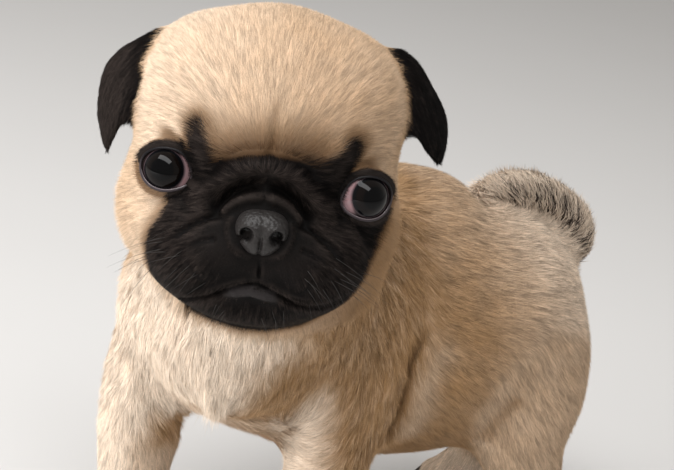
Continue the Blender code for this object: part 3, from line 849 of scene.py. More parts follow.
def mixColour(tree, factor, first, second, blend="MIX"):
    # factor, first and second are sockets or plain values
    node = tree.nodes.new("ShaderNodeMix")
    node.data_type = "RGBA"
    node.blend_type = blend
    for socket, value in ((node.inputs[0], factor), (node.inputs[6], first), (node.inputs[7], second)):
        if hasattr(value, "is_linked"):
            tree.links.new(value, socket)
        elif hasattr(value, "__len__"):
            socket.default_value = tuple(value) + (1.0,)
        else:
            socket.default_value = value
    return node.outputs[2]


def mathNode(tree, operation, first, second=0.0, third=0.0, clamp=False):
    # one sum on sockets or plain values
    node = tree.nodes.new("ShaderNodeMath")
    node.operation = operation
    node.use_clamp = clamp
    for socket, value in zip(node.inputs, (first, second, third)):
        if hasattr(value, "is_linked"):
            tree.links.new(value, socket)
        else:
            socket.default_value = value
    return node.outputs[0]


def addRamp(tree, stops):
    # a run of colours, from rows of position and colour in rising order
    ramp = tree.nodes.new("ShaderNodeValToRGB")
    elements = ramp.color_ramp.elements
    elements[1].position = stops[-1][0]
    for position, _ in stops[1:-1]:
        elements.new(position)
    for element, (_, colour) in zip(elements, stops):
        element.color = colour + (1.0,)
    return ramp


def coatGroup():
    # hair colour: fawn to pale, dark tips, brown edge and painted shade, black mask with painted highlights,
    # varied by tuft and by soft patches
    tree = bpy.data.node_groups.new("hairColour", "ShaderNodeTree")
    for name in ("Darken", "Variation", "Patches"):
        tree.interface.new_socket(name, in_out="INPUT", socket_type="NodeSocketFloat")
    tree.interface.new_socket("Colour", in_out="OUTPUT", socket_type="NodeSocketColor")
    inputs = tree.nodes.new("NodeGroupInput")
    output = tree.nodes.new("NodeGroupOutput")
    marks = addNode(tree, "ShaderNodeAttribute", attribute_name="marks")
    strand = addNode(tree, "ShaderNodeAttribute", attribute_name="strand")
    marksSplit = tree.nodes.new("ShaderNodeSeparateXYZ")
    strandSplit = tree.nodes.new("ShaderNodeSeparateXYZ")
    tree.links.new(marks.outputs["Vector"], marksSplit.inputs[0])
    tree.links.new(strand.outputs["Vector"], strandSplit.inputs[0])
    mask, pale, ticking = marksSplit.outputs
    shade, along, brown = strandSplit.outputs
    # fawn to pale, the share shifted in soft patches, and darker at the root
    patches = addTexture(tree, "ShaderNodeTexNoise", Scale=75.0, Detail=3.0, Roughness=0.6)
    centred = mathNode(tree, "SUBTRACT", patches.outputs[0], 0.5)
    drift = mathNode(tree, "MULTIPLY", centred, inputs.outputs["Patches"])
    paleness = mathNode(tree, "ADD", pale, drift, clamp=True)
    colour = mixColour(tree, paleness, coatColours["fawn"], coatColours["pale"])
    rooted = mathNode(tree, "MULTIPLY_ADD", along, -1.6, 0.75, clamp=True)
    colour = mixColour(tree, mathNode(tree, "MULTIPLY", rooted, 0.3), colour, coatColours["root"])
    # dark tips on the darker of the ticked hair
    tipness = mathNode(tree, "MULTIPLY", mathNode(tree, "POWER", along, 1.2), ticking)
    dark = mathNode(tree, "MULTIPLY", tipness, mathNode(tree, "MULTIPLY_ADD", shade, -2.0, 1.35, clamp=True))
    colour = mixColour(tree, mathNode(tree, "MULTIPLY", dark, 0.85, clamp=True), colour, coatColours["tip"])
    # brown, real at the mask's edge and painted shade in the folds, underside and cheek, unevenly from hair
    # to hair
    spread = mathNode(tree, "SUBTRACT", shade, 0.5)
    uneven = mathNode(tree, "MULTIPLY_ADD", spread, 0.35, brown)
    browned = mathNode(tree, "MULTIPLY", uneven, 0.85, clamp=True)
    browned = mathNode(tree, "MULTIPLY", browned, mathNode(tree, "GREATER_THAN", brown, 0.001))
    colour = mixColour(tree, browned, colour, coatColours["brown"])
    # black, lightened towards dark brown as painted highlight where the pale number says so, with a ragged
    # edge
    ragged = mathNode(tree, "MULTIPLY_ADD", spread, 0.34, mask)
    blackness = addNode(tree, "ShaderNodeMapRange", interpolation_type="SMOOTHSTEP")
    blackness.inputs["From Min"].default_value = 0.18
    blackness.inputs["From Max"].default_value = 0.62
    tree.links.new(ragged, blackness.inputs["Value"])
    blackToSheen = mixColour(tree, pale, coatColours["black"], coatColours["darkBrownAndSheen"])
    colour = mixColour(tree, blackness.outputs[0], colour, blackToSheen)
    # some hairs lighter and some darker than the rest
    gain = mathNode(tree, "MULTIPLY_ADD", spread, inputs.outputs["Variation"], inputs.outputs["Darken"])
    grey = tree.nodes.new("ShaderNodeCombineXYZ")
    for socket in grey.inputs:
        tree.links.new(gain, socket)
    colour = mixColour(tree, 1.0, colour, grey.outputs[0], "MULTIPLY")
    tree.links.new(colour, output.inputs["Colour"])
    return tree


hairColour = coatGroup()


def newMaterial(name, **sockets):
    # a material with values on the shader's own sockets, a socket's spaces written as _
    material = bpy.data.materials.new(name)
    material.use_nodes = True
    shader = material.node_tree.nodes["Principled BSDF"]
    for key, value in sockets.items():
        shader.inputs[key.replace("_", " ")].default_value = value
    return material, material.node_tree, shader


def placeGroup(tree, group, **values):
    # a shared group with this material's own values
    node = tree.nodes.new("ShaderNodeGroup")
    node.node_tree = group
    for key, value in values.items():
        node.inputs[key].default_value = value
    return node


def coatMaterial():
    # dull hair, varied from tuft to tuft
    material, tree, shader = newMaterial("coat", Roughness=0.62, Specular_IOR_Level=0.06)
    colour = placeGroup(tree, hairColour, Darken=1.0, Variation=0.72, Patches=0.22)
    tree.links.new(colour.outputs[0], shader.inputs["Base Color"])
    return material


def skinMaterial():
    # the coat's own colours, darker as painted shade under the hair, with pores, and a damp grey lower lip
    material, tree, shader = newMaterial("skin", Roughness=0.7, Specular_IOR_Level=0.1)
    colour = placeGroup(tree, hairColour, Darken=0.7, Variation=0.0, Patches=0.5)
    wet = addNode(tree, "ShaderNodeAttribute", attribute_name="wet")
    tinted = mixColour(tree, wet.outputs["Fac"], colour.outputs[0], (0.022, 0.019, 0.019))
    tree.links.new(tinted, shader.inputs["Base Color"])
    tree.links.new(mathNode(tree, "MULTIPLY_ADD", wet.outputs["Fac"], -0.5, 0.7), shader.inputs["Roughness"])
    pores = addTexture(tree, "ShaderNodeTexNoise", Scale=1500.0, Detail=3.0, Roughness=0.6)
    bump = addNode(tree, "ShaderNodeBump", Strength=0.5, Distance=0.0004)
    tree.links.new(pores.outputs[0], bump.inputs["Height"])
    tree.links.new(bump.outputs[0], shader.inputs["Normal"])
    return material


def mottledMaterial(name, dark, light, scale, detail=2.0, **sockets):
    # a colour that drifts between two by soft noise
    material, tree, shader = newMaterial(name, **sockets)
    noise = addTexture(tree, "ShaderNodeTexNoise", Scale=scale, Detail=detail)
    tree.links.new(mixColour(tree, noise.outputs[0], dark, light), shader.inputs["Base Color"])
    return material


def leatherMaterial(name, colour, roughness, pebble, depth):
    # pebbled hide: rounded cells raised on a colour that is broken by fine noise
    material, tree, shader = newMaterial(name, Roughness=roughness, Specular_IOR_Level=0.36)
    cells = addTexture(tree, "ShaderNodeTexVoronoi", Scale=pebble, feature="SMOOTH_F1")
    grain = addTexture(tree, "ShaderNodeTexNoise", Scale=pebble * 2.4, Detail=4.0)
    lighter = tuple(min(1.0, value * 2.2 + 0.004) for value in colour)
    mixed = mixColour(tree, mathNode(tree, "MULTIPLY", grain.outputs[0], 0.6), colour, lighter)
    # painted shade: the nostrils near black
    pitShade = addNode(tree, "ShaderNodeAttribute", attribute_name="pitShade")
    mixed = mixColour(tree, pitShade.outputs["Fac"], mixed, (0.0012, 0.0010, 0.0010))
    tree.links.new(mixed, shader.inputs["Base Color"])
    tree.links.new(mathNode(tree, "MULTIPLY_ADD", grain.outputs[0], 0.25, roughness - 0.12),
                   shader.inputs["Roughness"])
    fine = mathNode(tree, "MULTIPLY", grain.outputs[0], 0.25)
    height = mathNode(tree, "MULTIPLY_ADD", cells.outputs["Distance"], -1.0, fine)
    bump = addNode(tree, "ShaderNodeBump", Strength=0.9, Distance=depth)
    tree.links.new(height, bump.inputs["Height"])
    tree.links.new(bump.outputs[0], shader.inputs["Normal"])
    return material


skinLook = skinMaterial()
coatLook = coatMaterial()

skinMarks = markings(skinPoints, skinNormals, nodeWeights, skinRelief)
# painted shade: the skin browned in the folds of the body
skinMarks["brown"] = np.clip(skinMarks["brown"] + foldShade(skinPoints)[0], 0, 1)
setVector(skin.data, "marks", skinMarks["mask"], skinMarks["pale"], skinMarks["ticking"])
everywhere = np.ones(len(skinPoints))
setVector(skin.data, "strand", 0.5 * everywhere, 0.45 * everywhere, skinMarks["brown"])
skinHead = toHead(skinPoints)
lipWet = (smooth(2.3, 1.0, np.abs(skinHead[:, 2] + 26.2 + 0.16 * np.abs(skinHead[:, 0])))
          * smooth(9.5, 5.5, np.abs(skinHead[:, 0])) * smooth(-30, -36, skinHead[:, 1]))
setValue(skin.data, "wet", lipWet)
skin.data.materials.append(skinLook)
thinSkin(skin)
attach(skin, "root")
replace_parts(skin, *fleshNames)

# Each tuft's patch in the square of its map: its width, and the places of its corners. The edge is left free
# round each map.
patchSize = 0.003
mapEdge = 0.004
tuftPatch = np.array(((-0.5, 0.0), (0.5, 0.0), (0.42, 0.5), (-0.42, 0.5), (0.0, 1.0))) * patchSize
bladePatch = np.array(((-0.5, 0.0), (0.5, 0.0), (0.0, 1.0))) * patchSize


def roundAxis(v, axis):
    # turn round an axis, 0 to 1 for the whole of it, and distance along it
    axis = unit(np.array(axis, float))
    first = unit(np.cross(axis, (0.3, 0.9, 0.2)))
    second = np.cross(axis, first)
    return np.arctan2(v @ second, v @ first) / (2 * np.pi) + 0.5, v @ axis


def unwrapRound(points, centre, axis, start=0.0):
    # equal-area map of directions from a centre: turn round the axis, and height along it
    turn, height = roundAxis(unit(points - centre), axis)
    return np.stack([(turn + start) % 1.0, 0.5 + 0.5 * height], 1)


def unwrapTube(points, centre, axis):
    # turn round the axis, and distance along it
    return np.stack(roundAxis(points - centre, axis), 1)


def fitTile(uv, tile=0, tiles=1):
    # stretches a map to its own part of the square
    low, high = uv.min(0), uv.max(0)
    uv = (uv - low) / np.maximum(high - low, 1e-9)
    return np.stack([(tile + mapEdge * tiles + uv[:, 0] * (1 - 2 * mapEdge * tiles)) / tiles,
                     mapEdge + uv[:, 1] * (1 - 2 * mapEdge - patchSize)], 1)


# The bare nose pad in the head's frame: middle and half sizes in mm.
barePad = ((0.4, -43.0, -6.7), (8.3, 7.0, 7.2))
# Places of longer hair on the chest (mm in the room): reach, extra length (mm) and extra lift (degrees).
chestLocks = (((17.0, -74.0, 104.0), 4.5, 7.0, 16.0), ((10.0, -35.0, 74.0), 10.0, 3.5, 10.0))


def tuftFields():
    # coat numbers for each point of the skin: length, width, density and lift
    rows = np.array([coatSettings[coatKind(name)] for name in fleshNames])
    fields = nodeWeights @ rows[:, 1:]
    h = toHead(skinPoints)
    head = weightOf(nodeWeights, "head", "muzzle")
    x, y, z = np.abs(h[:, 0]), h[:, 1], h[:, 2]
    # shortest by the eyes and nose, longer on the cheeks
    eye = np.linalg.norm(np.stack([x, y, z], 1) - np.array(eyePlace["at"]), axis=1)
    short = head * np.maximum(smooth(20, 10.5, eye), smooth(26, 12, np.linalg.norm(h - (0, -44, -8), axis=1)))
    fields[:, 0] *= 1.0 - 0.5 * short
    fields[:, 1] *= 1.0 - 0.2 * short
    fields[:, 2] *= 1.0 + 0.5 * short
    cheek = head * smooth(27, 37, x) * smooth(8, -10, z)
    fields[:, 0] *= 1.0 + 0.45 * cheek
    fields[:, 3] += 5.0 * cheek
    # a hanging lock and a fluffy fringe on the chest
    for place, reach, longer, rise in chestLocks:
        near = np.exp(-(np.linalg.norm(skinPoints * 1000.0 - np.array(place), axis=1) / reach) ** 2)
        fields[:, 0] += longer * near
        fields[:, 3] += rise * near
    # none under the soles, on the nose, in the eyes or in the mouth
    bare = smooth(0.0022, 0.001, skinPoints[:, 2]) * weightOf(nodeWeights, "paw")
    for side in (-1, 1):
        r, past, upper, _ = aroundEye(h, side)
        bare = np.maximum(bare, ((past < 2.6 + 3.0 * upper) & (r < 16)).astype(float))
    pad = (h - barePad[0]) / barePad[1]
    bare = np.maximum(bare, (np.linalg.norm(pad, axis=1) < 1.0).astype(float))
    bare = np.maximum(bare, lipWet > 0.3)
    fields[:, 2] *= 1.0 - np.clip(bare, 0, 1)
    return fields


coatFields = tuftFields()


def ripple(points, size, seed):
    # five sine waves of about this length in mm, each bent by another: a smooth number from about -1 to 1
    random = np.random.default_rng(seed)
    total = np.zeros(len(points))
    for _ in range(5):
        wave, bend = unit(random.normal(size=(2, 3))) * 2 * np.pi * 1000.0 / size * random.uniform(0.7, 1.4)
        phase = random.uniform(0, 2 * np.pi, 2)
        total += np.sin(points @ wave + phase[0] + 1.4 * np.sin(0.6 * points @ bend + phase[1]))
    return total / 2.6


def combed(points, flow, grain, step):
    # random cells of one grain, averaged over nine places a step apart along the hair: streaks that follow
    # it, about 0.5 with a spread of 0.2
    total = np.zeros(len(points))
    for k in range(-4, 5):
        cell = np.floor((points + flow * (k * step)) / grain)
        wild = np.sin(cell @ (12.9898, 78.233, 37.719)) * 43758.5453
        total += wild - np.floor(wild)
    return 0.5 + 2.1 * (total / 9.0 - 0.5)


# Grain of the streaks and step along the hair, in metres.
streakGrains = {"fine": (0.00042, 0.00042), "trunk": (0.00046, 0.00055), "broad": (0.00062, 0.0007)}


def streaksOf(points, flow, weights, normals):
    # fine streaks on head, ears and feet, longer ones on the trunk, broad locks on the front of neck and
    # chest
    ahead = smooth(0.1, 0.7, normals @ chestFront)
    trunk = weightOf(weights, "belly", "rump", "thigh", "tail")
    front = weightOf(weights, "neck", "chest")
    broad = np.clip(front * ahead, 0, 1)
    trunk = np.clip(trunk + front * (1 - ahead), 0, 1 - broad)
    shares = {"fine": 1 - broad - trunk, "trunk": trunk, "broad": broad}
    return sum(share * combed(points, flow, *streakGrains[kind]) for kind, share in shares.items())


def scatterRoots(chosen, random):
    # roots on the chosen triangles, as many as area times density: each one's triangle, and the shares of
    # its three corners
    edges = skinPoints[chosen[:, 1:]] - skinPoints[chosen[:, :1]]
    area = 0.5 * np.linalg.norm(np.cross(edges[:, 0], edges[:, 1]), axis=1)
    wanted = area * 1e6 * coatFields[chosen, 2].mean(1)
    count = int(wanted.sum())
    total = np.cumsum(wanted)
    at = np.searchsorted(total, (np.arange(count) + random.random(count)) / count * total[-1])
    at = np.minimum(at, len(chosen) - 1)
    a, b = random.random(count), random.random(count)
    flip = a + b > 1
    a, b = np.where(flip, 1 - a, a), np.where(flip, 1 - b, b)
    return chosen[at], np.stack([1 - a - b, a, b], 1)[:, :, None]


def tuftPoints(base, half, first, second, length, bent):
    # corners of each tuft, and the share of its length at each: a straight one is a pointed blade from p to
    # p + L d(a), a bent one has a four-sided root and a pointed tip, p, p + L/2 d(a) and
    # p + L/2 d(a) + L/2 d(b), with d(a) first and d(b) second
    if not bent:
        return np.stack([base - half, base + half, base + first * length], 1), (0.0, 0.0, 1.0)
    middle = base + first * (0.5 * length)
    tip = middle + second * (0.5 * length)
    corners = [base - 0.8 * half, base + 0.8 * half, middle + half, middle - half, tip]
    return np.stack(corners, 1), (0.0, 0.0, 0.5, 0.5, 1.0)


def mapTufts(mesh, uv, faces, patch):
    # the map OFBake: each tuft's patch with its root at that root's place, kept inside the square
    corner = uv[:, None, :] + patch[None] + (patchSize * 0.5, 0.0)
    corner = np.clip(corner, 0.0005, 0.9995)
    loops = np.concatenate([corner[:, face].reshape(-1, 2) for face in faces])
    layer = mesh.uv_layers.new(name="OFBake")
    layer.uv.foreach_set("vector", loops.astype(np.float32).ravel())


# Tufts: ranges of length, width and lift about their means, twist in radians, depth of the root and least
# height in metres, where along a tuft the painted shade of the folds is read, stray in radians of straight
# and of bent ones, swing in waves everywhere and more on chest and neck, and lift in waves on chest and neck.
tuftSettings = {
    "length": (0.65, 1.25),
    "width": (0.7, 1.3),
    "lift": (0.5, 1.7),
    "twist": 0.7,
    "sunk": 0.0002,
    "lowest": 0.0003,
    "foldAt": 0.65,
    "stray": {False: 0.10, True: 0.22},
    "swing": (0.08, 0.22),
    "heave": 0.5,
}


def layTufts(random, root, normal, flow, field, curly, bent):
    # tufts that leave the skin by d(a) = cos a * flow + sin a * normal: their corners with the share of the
    # length at each, where the painted shade of the folds is read, and the ways that root and tip are shaded
    count = len(root)
    # each tuft strays from the flow, and those of chest and neck also lie in waves
    across = np.cross(flow, normal)
    stray = random.normal(0.0, tuftSettings["stray"][bent], count)
    common, more = tuftSettings["swing"]
    swing = (stray + (common + more * curly) * ripple(root, 7.0, 5))[:, None]
    flow = flow * np.cos(swing) + across * np.sin(swing)
    across = np.cross(flow, normal)
    length = field[:, 0] * 0.001 * random.uniform(*tuftSettings["length"], count)
    width = field[:, 1] * 0.001 * random.uniform(*tuftSettings["width"], count)
    # lifted at the root, settling back to the skin at the tip, and twisted about its own length
    rise = random.uniform(*tuftSettings["lift"], count)
    rise = rise + tuftSettings["heave"] * curly * ripple(root, 5.0, 6)
    lift = np.radians(field[:, 3] * rise)[:, None]
    settle = -0.35 * lift + random.normal(-0.02, 0.10, count)[:, None]
    twist = random.uniform(-tuftSettings["twist"], tuftSettings["twist"], count)[:, None]
    first = flow * np.cos(lift) + normal * np.sin(lift)
    second = flow * np.cos(settle) + normal * np.sin(settle)
    side = across * np.cos(twist) + np.cross(first, across) * np.sin(twist)
    base = root - normal * tuftSettings["sunk"]
    half = side * (0.5 * width)[:, None]
    points, reach = tuftPoints(base, half, first, second, length[:, None], bent)
    points[:, :, 2] = np.maximum(points[:, :, 2], tuftSettings["lowest"])
    foldPlace = root + flow * (tuftSettings["foldAt"] * length)[:, None]
    # shaded mostly as the skin below it is
    soft = unit(0.78 * normal + 0.22 * unit(np.cross(side, first)))
    return points, reach, foldPlace, soft, unit(soft + 0.12 * flow)


def growCoat(name, chosen, unwrap, seed, bent=False):
    # tufts on the chosen triangles, coloured by the same marks as the skin and by streaks along the hair
    random = np.random.default_rng(seed)
    triangle, mix = scatterRoots(chosen, random)
    count = len(triangle)
    root = (skinPoints[triangle] * mix).sum(1)
    normal = unit((skinNormals[triangle] * mix).sum(1))
    flow = (skinFlow[triangle] * mix).sum(1)
    field = (coatFields[triangle] * mix).sum(1)
    weights = (nodeWeights[triangle] * mix).sum(1)
    relief = (skinRelief[triangle] * mix[:, :, 0]).sum(1)
    marks = markings(root, normal, weights, relief)
    flow = unit(flow - normal * (flow * normal).sum(1)[:, None])
    # streaks of lighter hair: painted glints of sheen in the black, cream and fawn strands on the chest
    streaks = streaksOf(root, flow, weights, normal)
    streaky = 1.3 * smooth(0.4, 0.9, marks["mask"]) + 0.5 * weightOf(weights, "chest")
    marks["pale"] = np.clip(marks["pale"] + streaky * (streaks - 0.5), 0, 1)
    curly = weightOf(weights, "chest", "neck")
    points, reach, foldPlace, soft, lean = layTufts(random, root, normal, flow, field, curly, bent)
    # painted shade in the body's folds, and painted light on the ridge behind the elbow
    foldShadow, ridgeLight = foldShade(foldPlace)
    marks["brown"] = np.clip(marks["brown"] + foldShadow, 0, 1)
    marks["pale"] = np.clip(marks["pale"] + ridgeLight - 0.7 * foldShadow, 0, 1)
    each = len(reach)
    start = np.arange(count)[:, None] * each
    faces = ((0, 1, 2, 3), (3, 2, 4)) if bent else ((0, 1, 2),)

    def repeat(values):
        # one value for each tuft to one for each of its corners
        return np.repeat(values, each)

    quads = start + np.array(faces[0]) if bent else None
    piece = makePiece(name, points.reshape(-1, 3), quads, start + np.array(faces[-1]))
    mesh = piece.data
    along = np.tile(np.array(reach), count)
    tailShare = weightOf(weights, "tail")
    mask = repeat(marks["mask"] + tailShare * (1.8 * streaks - 0.9)) - 0.40 * repeat(tailShare) * along
    setVector(mesh, "marks", mask, repeat(marks["pale"]), repeat(marks["ticking"]))
    shade = np.clip(0.55 * (random.random(count) - 0.5) + streaks, 0, 1)
    setVector(mesh, "strand", repeat(shade), along, repeat(marks["brown"]))
    shown = np.stack([soft] * (each - 1) + [lean], 1).reshape(-1, 3)
    mesh.normals_split_custom_set_from_vertices(shown)
    mapTufts(mesh, unwrap(root), faces, tuftPatch if bent else bladePatch)
    mesh.materials.append(coatLook)
    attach(piece, "root")
    print(name, "has", count * (each - 2), "triangles")
    return piece


triangleNode = np.argmax(nodeWeights[skinTriangles].sum(1), axis=1)


def trianglesOf(*words):
    # the skin's triangles that belong to nodes whose names hold one of the words
    picked = [index for name, index in nodeIndex.items() if any(word in name for word in words)]
    return skinTriangles[np.isin(triangleNode, picked)]


def middleOf(*names):
    # middle of the box round some nodes
    boxes = np.array([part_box(name) for name in names])
    return 0.5 * (boxes[:, 0].min(0) + boxes[:, 1].max(0))


def roundMap(centre, axis, start=0.0):
    # the whole square for one region, by directions from its middle
    return lambda points: fitTile(unwrapRound(points, centre, axis, start))


def tubeMap(centre, axis):
    # the whole square for one region, by turn round its axis and distance along it
    return lambda points: fitTile(unwrapTube(points, centre, axis))


def tailMap(points):
    # turn round the middle of the tail, and distance from the line along it
    turn = unwrapRound(points, middleOf("tail"), (1, 0, 0))[:, 0]
    return fitTile(np.stack([turn, nearestOnPath(points, tailPath)[0]], 1))


def tiledMap(rows):
    # several small regions side by side in the square, each by its own middle and axis
    def unwrap(points):
        # each point by the map of its nearest region
        nearest = np.argmin([np.linalg.norm(points - centre, axis=1) for centre, _ in rows], axis=0)
        uv = np.zeros((len(points), 2))
        for index, (centre, axis) in enumerate(rows):
            mine = nearest == index
            if mine.any():
                uv[mine] = fitTile(unwrapTube(points[mine], centre, axis), index, len(rows))
        return uv
    return unwrap


# Hair ahead of this place is the face's piece (mm in the head's frame).
faceStart = -14.0
# Ways that the maps of the coat run, each along its part of the body.
upAxis = (0.0, 0.0, 1.0)
neckAxis = (0.33, -0.39, 0.87)
chestAxis = (0.75, -0.62, 0.0)
bellyAxis = (0.27, 0.96, 0.0)


def buildCoat():
    # each region's tufts, mapped round the middle of its own part of the body
    headMiddle = fromHead((0, 0, 0))
    front = headTurn @ np.array((0.0, -1.0, 0.0))
    headFaces = trianglesOf("head")
    ahead = toHead(skinPoints[headFaces].mean(1))[:, 1] < faceStart
    growCoat("coatMuzzle", trianglesOf("muzzle"), roundMap(headMiddle, front), 21)
    growCoat("coatFace", headFaces[ahead], roundMap(headMiddle, upAxis, 0.1), 22)
    growCoat("coatHead", headFaces[~ahead], roundMap(headMiddle, front), 23)
    growCoat("coatNeck", trianglesOf("neck"), tubeMap(middleOf("neck"), neckAxis), 24)
    chestFaces = trianglesOf("chest")
    leftSide = (skinPoints[chestFaces].mean(1) - middleOf("chest")) @ chestSide < 0
    for name, faces, seed in (("coatChestLeft", chestFaces[leftSide], 25),
                              ("coatChestRight", chestFaces[~leftSide], 35)):
        growCoat(name, faces, roundMap(middleOf("chest"), chestAxis), seed)
    bellyMap = tubeMap(middleOf("belly"), bellyAxis)
    growCoat("coatBelly", trianglesOf("belly"), bellyMap, 26)
    rumpMap = roundMap(middleOf("rump"), upAxis)
    growCoat("coatRump", trianglesOf("rump", "thigh"), rumpMap, 27)
    for name, word, seed in (("coatForelegs", "fore", 28), ("coatHindlegs", "hind", 38)):
        legRows = [(middleOf(word + "leg_" + hand, word + "paw_" + hand), upAxis)
                   for hand in ("left", "right")]
        growCoat(name, trianglesOf(word), tiledMap(legRows), seed)
    growCoat("coatTail", trianglesOf("tail"), tailMap, 29, True)
    earRows = [(middleOf(name), upAxis) for name in ("ear_left", "ear_right")]
    growCoat("coatEars", trianglesOf("ear"), tiledMap(earRows), 30)


print("coat")
buildCoat()

# Eyes: half angles of iris and pupil in degrees, bulge of the clear front in mm, and where each looks.
eyeSettings = {"iris": 36.5, "pupil": 20.0, "bulge": 1.1,
               "gaze": {1: (0.375, -0.898, 0.232), -1: (-0.190, -0.948, 0.255)}}


def eyeMaterial():
    # pupil, iris and dark edge by the angle from the middle of the eye, then pink, which shows only at the
    # nasal corner; elsewhere the white is painted near black as shade under the lids
    material, tree, shader = newMaterial("eyeball", Roughness=0.04, IOR=1.38, Specular_IOR_Level=0.25)
    layer = addNode(tree, "ShaderNodeUVMap", uv_map="eyeMap")
    split = tree.nodes.new("ShaderNodeSeparateXYZ")
    tree.links.new(layer.outputs[0], split.inputs[0])
    iris = eyeSettings["iris"]
    pupil = eyeSettings["pupil"]
    rings = ((0.0, (0.0008, 0.0008, 0.001)), (pupil - 1.0, (0.0008, 0.0008, 0.001)),
             (pupil + 1.5, (0.003, 0.002, 0.0018)), (iris - 5.0, (0.004, 0.0026, 0.0022)),
             (iris - 1.5, (0.002, 0.002, 0.0024)), (iris + 3.2, (0.004, 0.004, 0.005)),
             (iris + 5.5, (0.09, 0.06, 0.066)), (iris + 9.0, (0.25, 0.165, 0.175)),
             (90.0, (0.26, 0.16, 0.17)))
    ramp = addRamp(tree, [(angle / 180.0, colour) for angle, colour in rings])
    tree.links.new(split.outputs[1], ramp.inputs[0])
    veins = addTexture(tree, "ShaderNodeTexNoise", Scale=420.0, Detail=5.0, Roughness=0.7, Distortion=1.2)
    veined = mathNode(tree, "MULTIPLY_ADD", veins.outputs[0], 4.0, -1.9, clamp=True)
    colour = mixColour(tree, mathNode(tree, "MULTIPLY", veined, 0.35), ramp.outputs[0], (0.30, 0.10, 0.10))
    inside = mathNode(tree, "LESS_THAN", split.outputs[1], (iris + 5.0) / 180.0)
    corner = addNode(tree, "ShaderNodeAttribute", attribute_name="nasal")
    # painted shade: away from the nasal corner the white is near black
    colour = mixColour(tree, corner.outputs["Fac"], (0.012, 0.008, 0.008), colour)
    colour = mixColour(tree, inside, colour, ramp.outputs[0])
    tree.links.new(colour, shader.inputs["Base Color"])
    return material


def buildEye(name, side, look):
    # r(t) = ball radius + bulge * (1 - (t / (iris + 3))^2)^1.3 inside the iris, t the angle from the gaze
    centre, _, nasal, _ = eyeFrame(side)
    gaze = unit(np.array(eyeSettings["gaze"][side]))
    first = unit(np.cross(gaze, (0.0, 0.0, 1.0)))
    second = np.cross(first, gaze)
    t = np.radians(np.concatenate([np.linspace(1.5, 50, 34), np.linspace(54, 178, 26)]))
    p = np.linspace(0, 2 * np.pi, 72, endpoint=False)
    inside = np.clip(1 - (np.degrees(t) / (eyeSettings["iris"] + 3)) ** 2, 0, 1) ** 1.3
    r = eyePlace["radius"] - 0.15 + eyeSettings["bulge"] * inside
    ring = (np.cos(p)[None, :, None] * first + np.sin(p)[None, :, None] * second)
    rings = centre + r[:, None, None] * (np.sin(t)[:, None, None] * ring + np.cos(t)[:, None, None] * gaze)
    points, quads, triangles = ringMesh(rings)
    piece = closedPiece(name, (fromHead(points), quads, triangles), look)
    v = points - centre
    angle = np.arccos(np.clip(unit(v) @ gaze, -1, 1)) / np.pi
    corner = np.empty(len(piece.data.loops), np.int32)
    piece.data.loops.foreach_get("vertex_index", corner)
    layer = piece.data.uv_layers.new(name="eyeMap")
    turn = np.arctan2(v @ second, v @ first) / (2 * np.pi) + 0.5
    layer.uv.foreach_set("vector", np.stack([turn[corner], angle[corner]], 1).astype(np.float32).ravel())
    setValue(piece.data, "nasal", smooth(0.32, 0.60, unit(v) @ nasal))
    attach(piece, "root")
    return piece


def lidLine(side, radius, shift, low=-90.0, high=270.0, count=120):
    # the edge of the opening as points on a sphere of the given radius
    centre, axis, nasal, up = eyeFrame(side)
    around = np.linspace(low, high, count, endpoint=high - low < 359)
    angle = np.radians(lidAngle(around, side) + shift)
    turn = np.radians(around)
    ring = np.cos(turn)[:, None] * nasal + np.sin(turn)[:, None] * up
    return centre + radius * (np.sin(angle)[:, None] * ring + np.cos(angle)[:, None] * axis), centre


def closedTube(path, outward, across, tall, sides=10):
    # oval section carried round a closed path, its tall side along outward
    along = unit(np.roll(path, -1, 0) - np.roll(path, 1, 0))
    second = unit(np.cross(along, outward))
    first = np.cross(second, along)
    turn = np.linspace(0, 2 * np.pi, sides, endpoint=False)
    rings = (path[:, None] + first[:, None] * np.cos(turn)[None, :, None] * tall
             + second[:, None] * np.sin(turn)[None, :, None] * across)
    a = np.arange(len(path))[:, None] * sides + np.arange(sides)[None]
    b = np.roll(a, -1, 1)
    quads = np.stack([a, b, np.roll(b, -1, 0), np.roll(a, -1, 0)], -1).reshape(-1, 4)
    return rings.reshape(-1, 3), quads, np.zeros((0, 3), int)


def openTube(path, outward, across, tall, sides=8):
    # the same tube along an open path, its size times (4 s (1 - s))^0.4 with s the share of the path
    s = np.linspace(0.0, 1.0, len(path))
    size = np.maximum(4.0 * s * (1.0 - s), 0.002) ** 0.4
    return ringMesh(sweptRings(path, outward, size, across, tall, sides))


# Rims and wet lines: half sizes across and along, height over the ball in mm, and degrees past the opening.
lidSettings = {"rim": (0.42, 0.32, 0.42, 0.8), "tear": (0.24, 0.2, 0.22, -0.9), "tearArc": (-172.0, -8.0)}


def lidMaterial():
    # black above, mottled grey where the attribute says that the rim is a lower one
    material, tree, shader = newMaterial("lidSkin", Roughness=0.45, Specular_IOR_Level=0.25)
    lower = addNode(tree, "ShaderNodeAttribute", attribute_name="lower")
    noise = addTexture(tree, "ShaderNodeTexNoise", Scale=900.0, Detail=3.0)
    grey = mixColour(tree, noise.outputs[0], (0.020, 0.016, 0.018), (0.060, 0.046, 0.051))
    share = mathNode(tree, "MULTIPLY", lower.outputs["Fac"], 0.85)
    tree.links.new(mixColour(tree, share, (0.006, 0.005, 0.006), grey), shader.inputs["Base Color"])
    return material


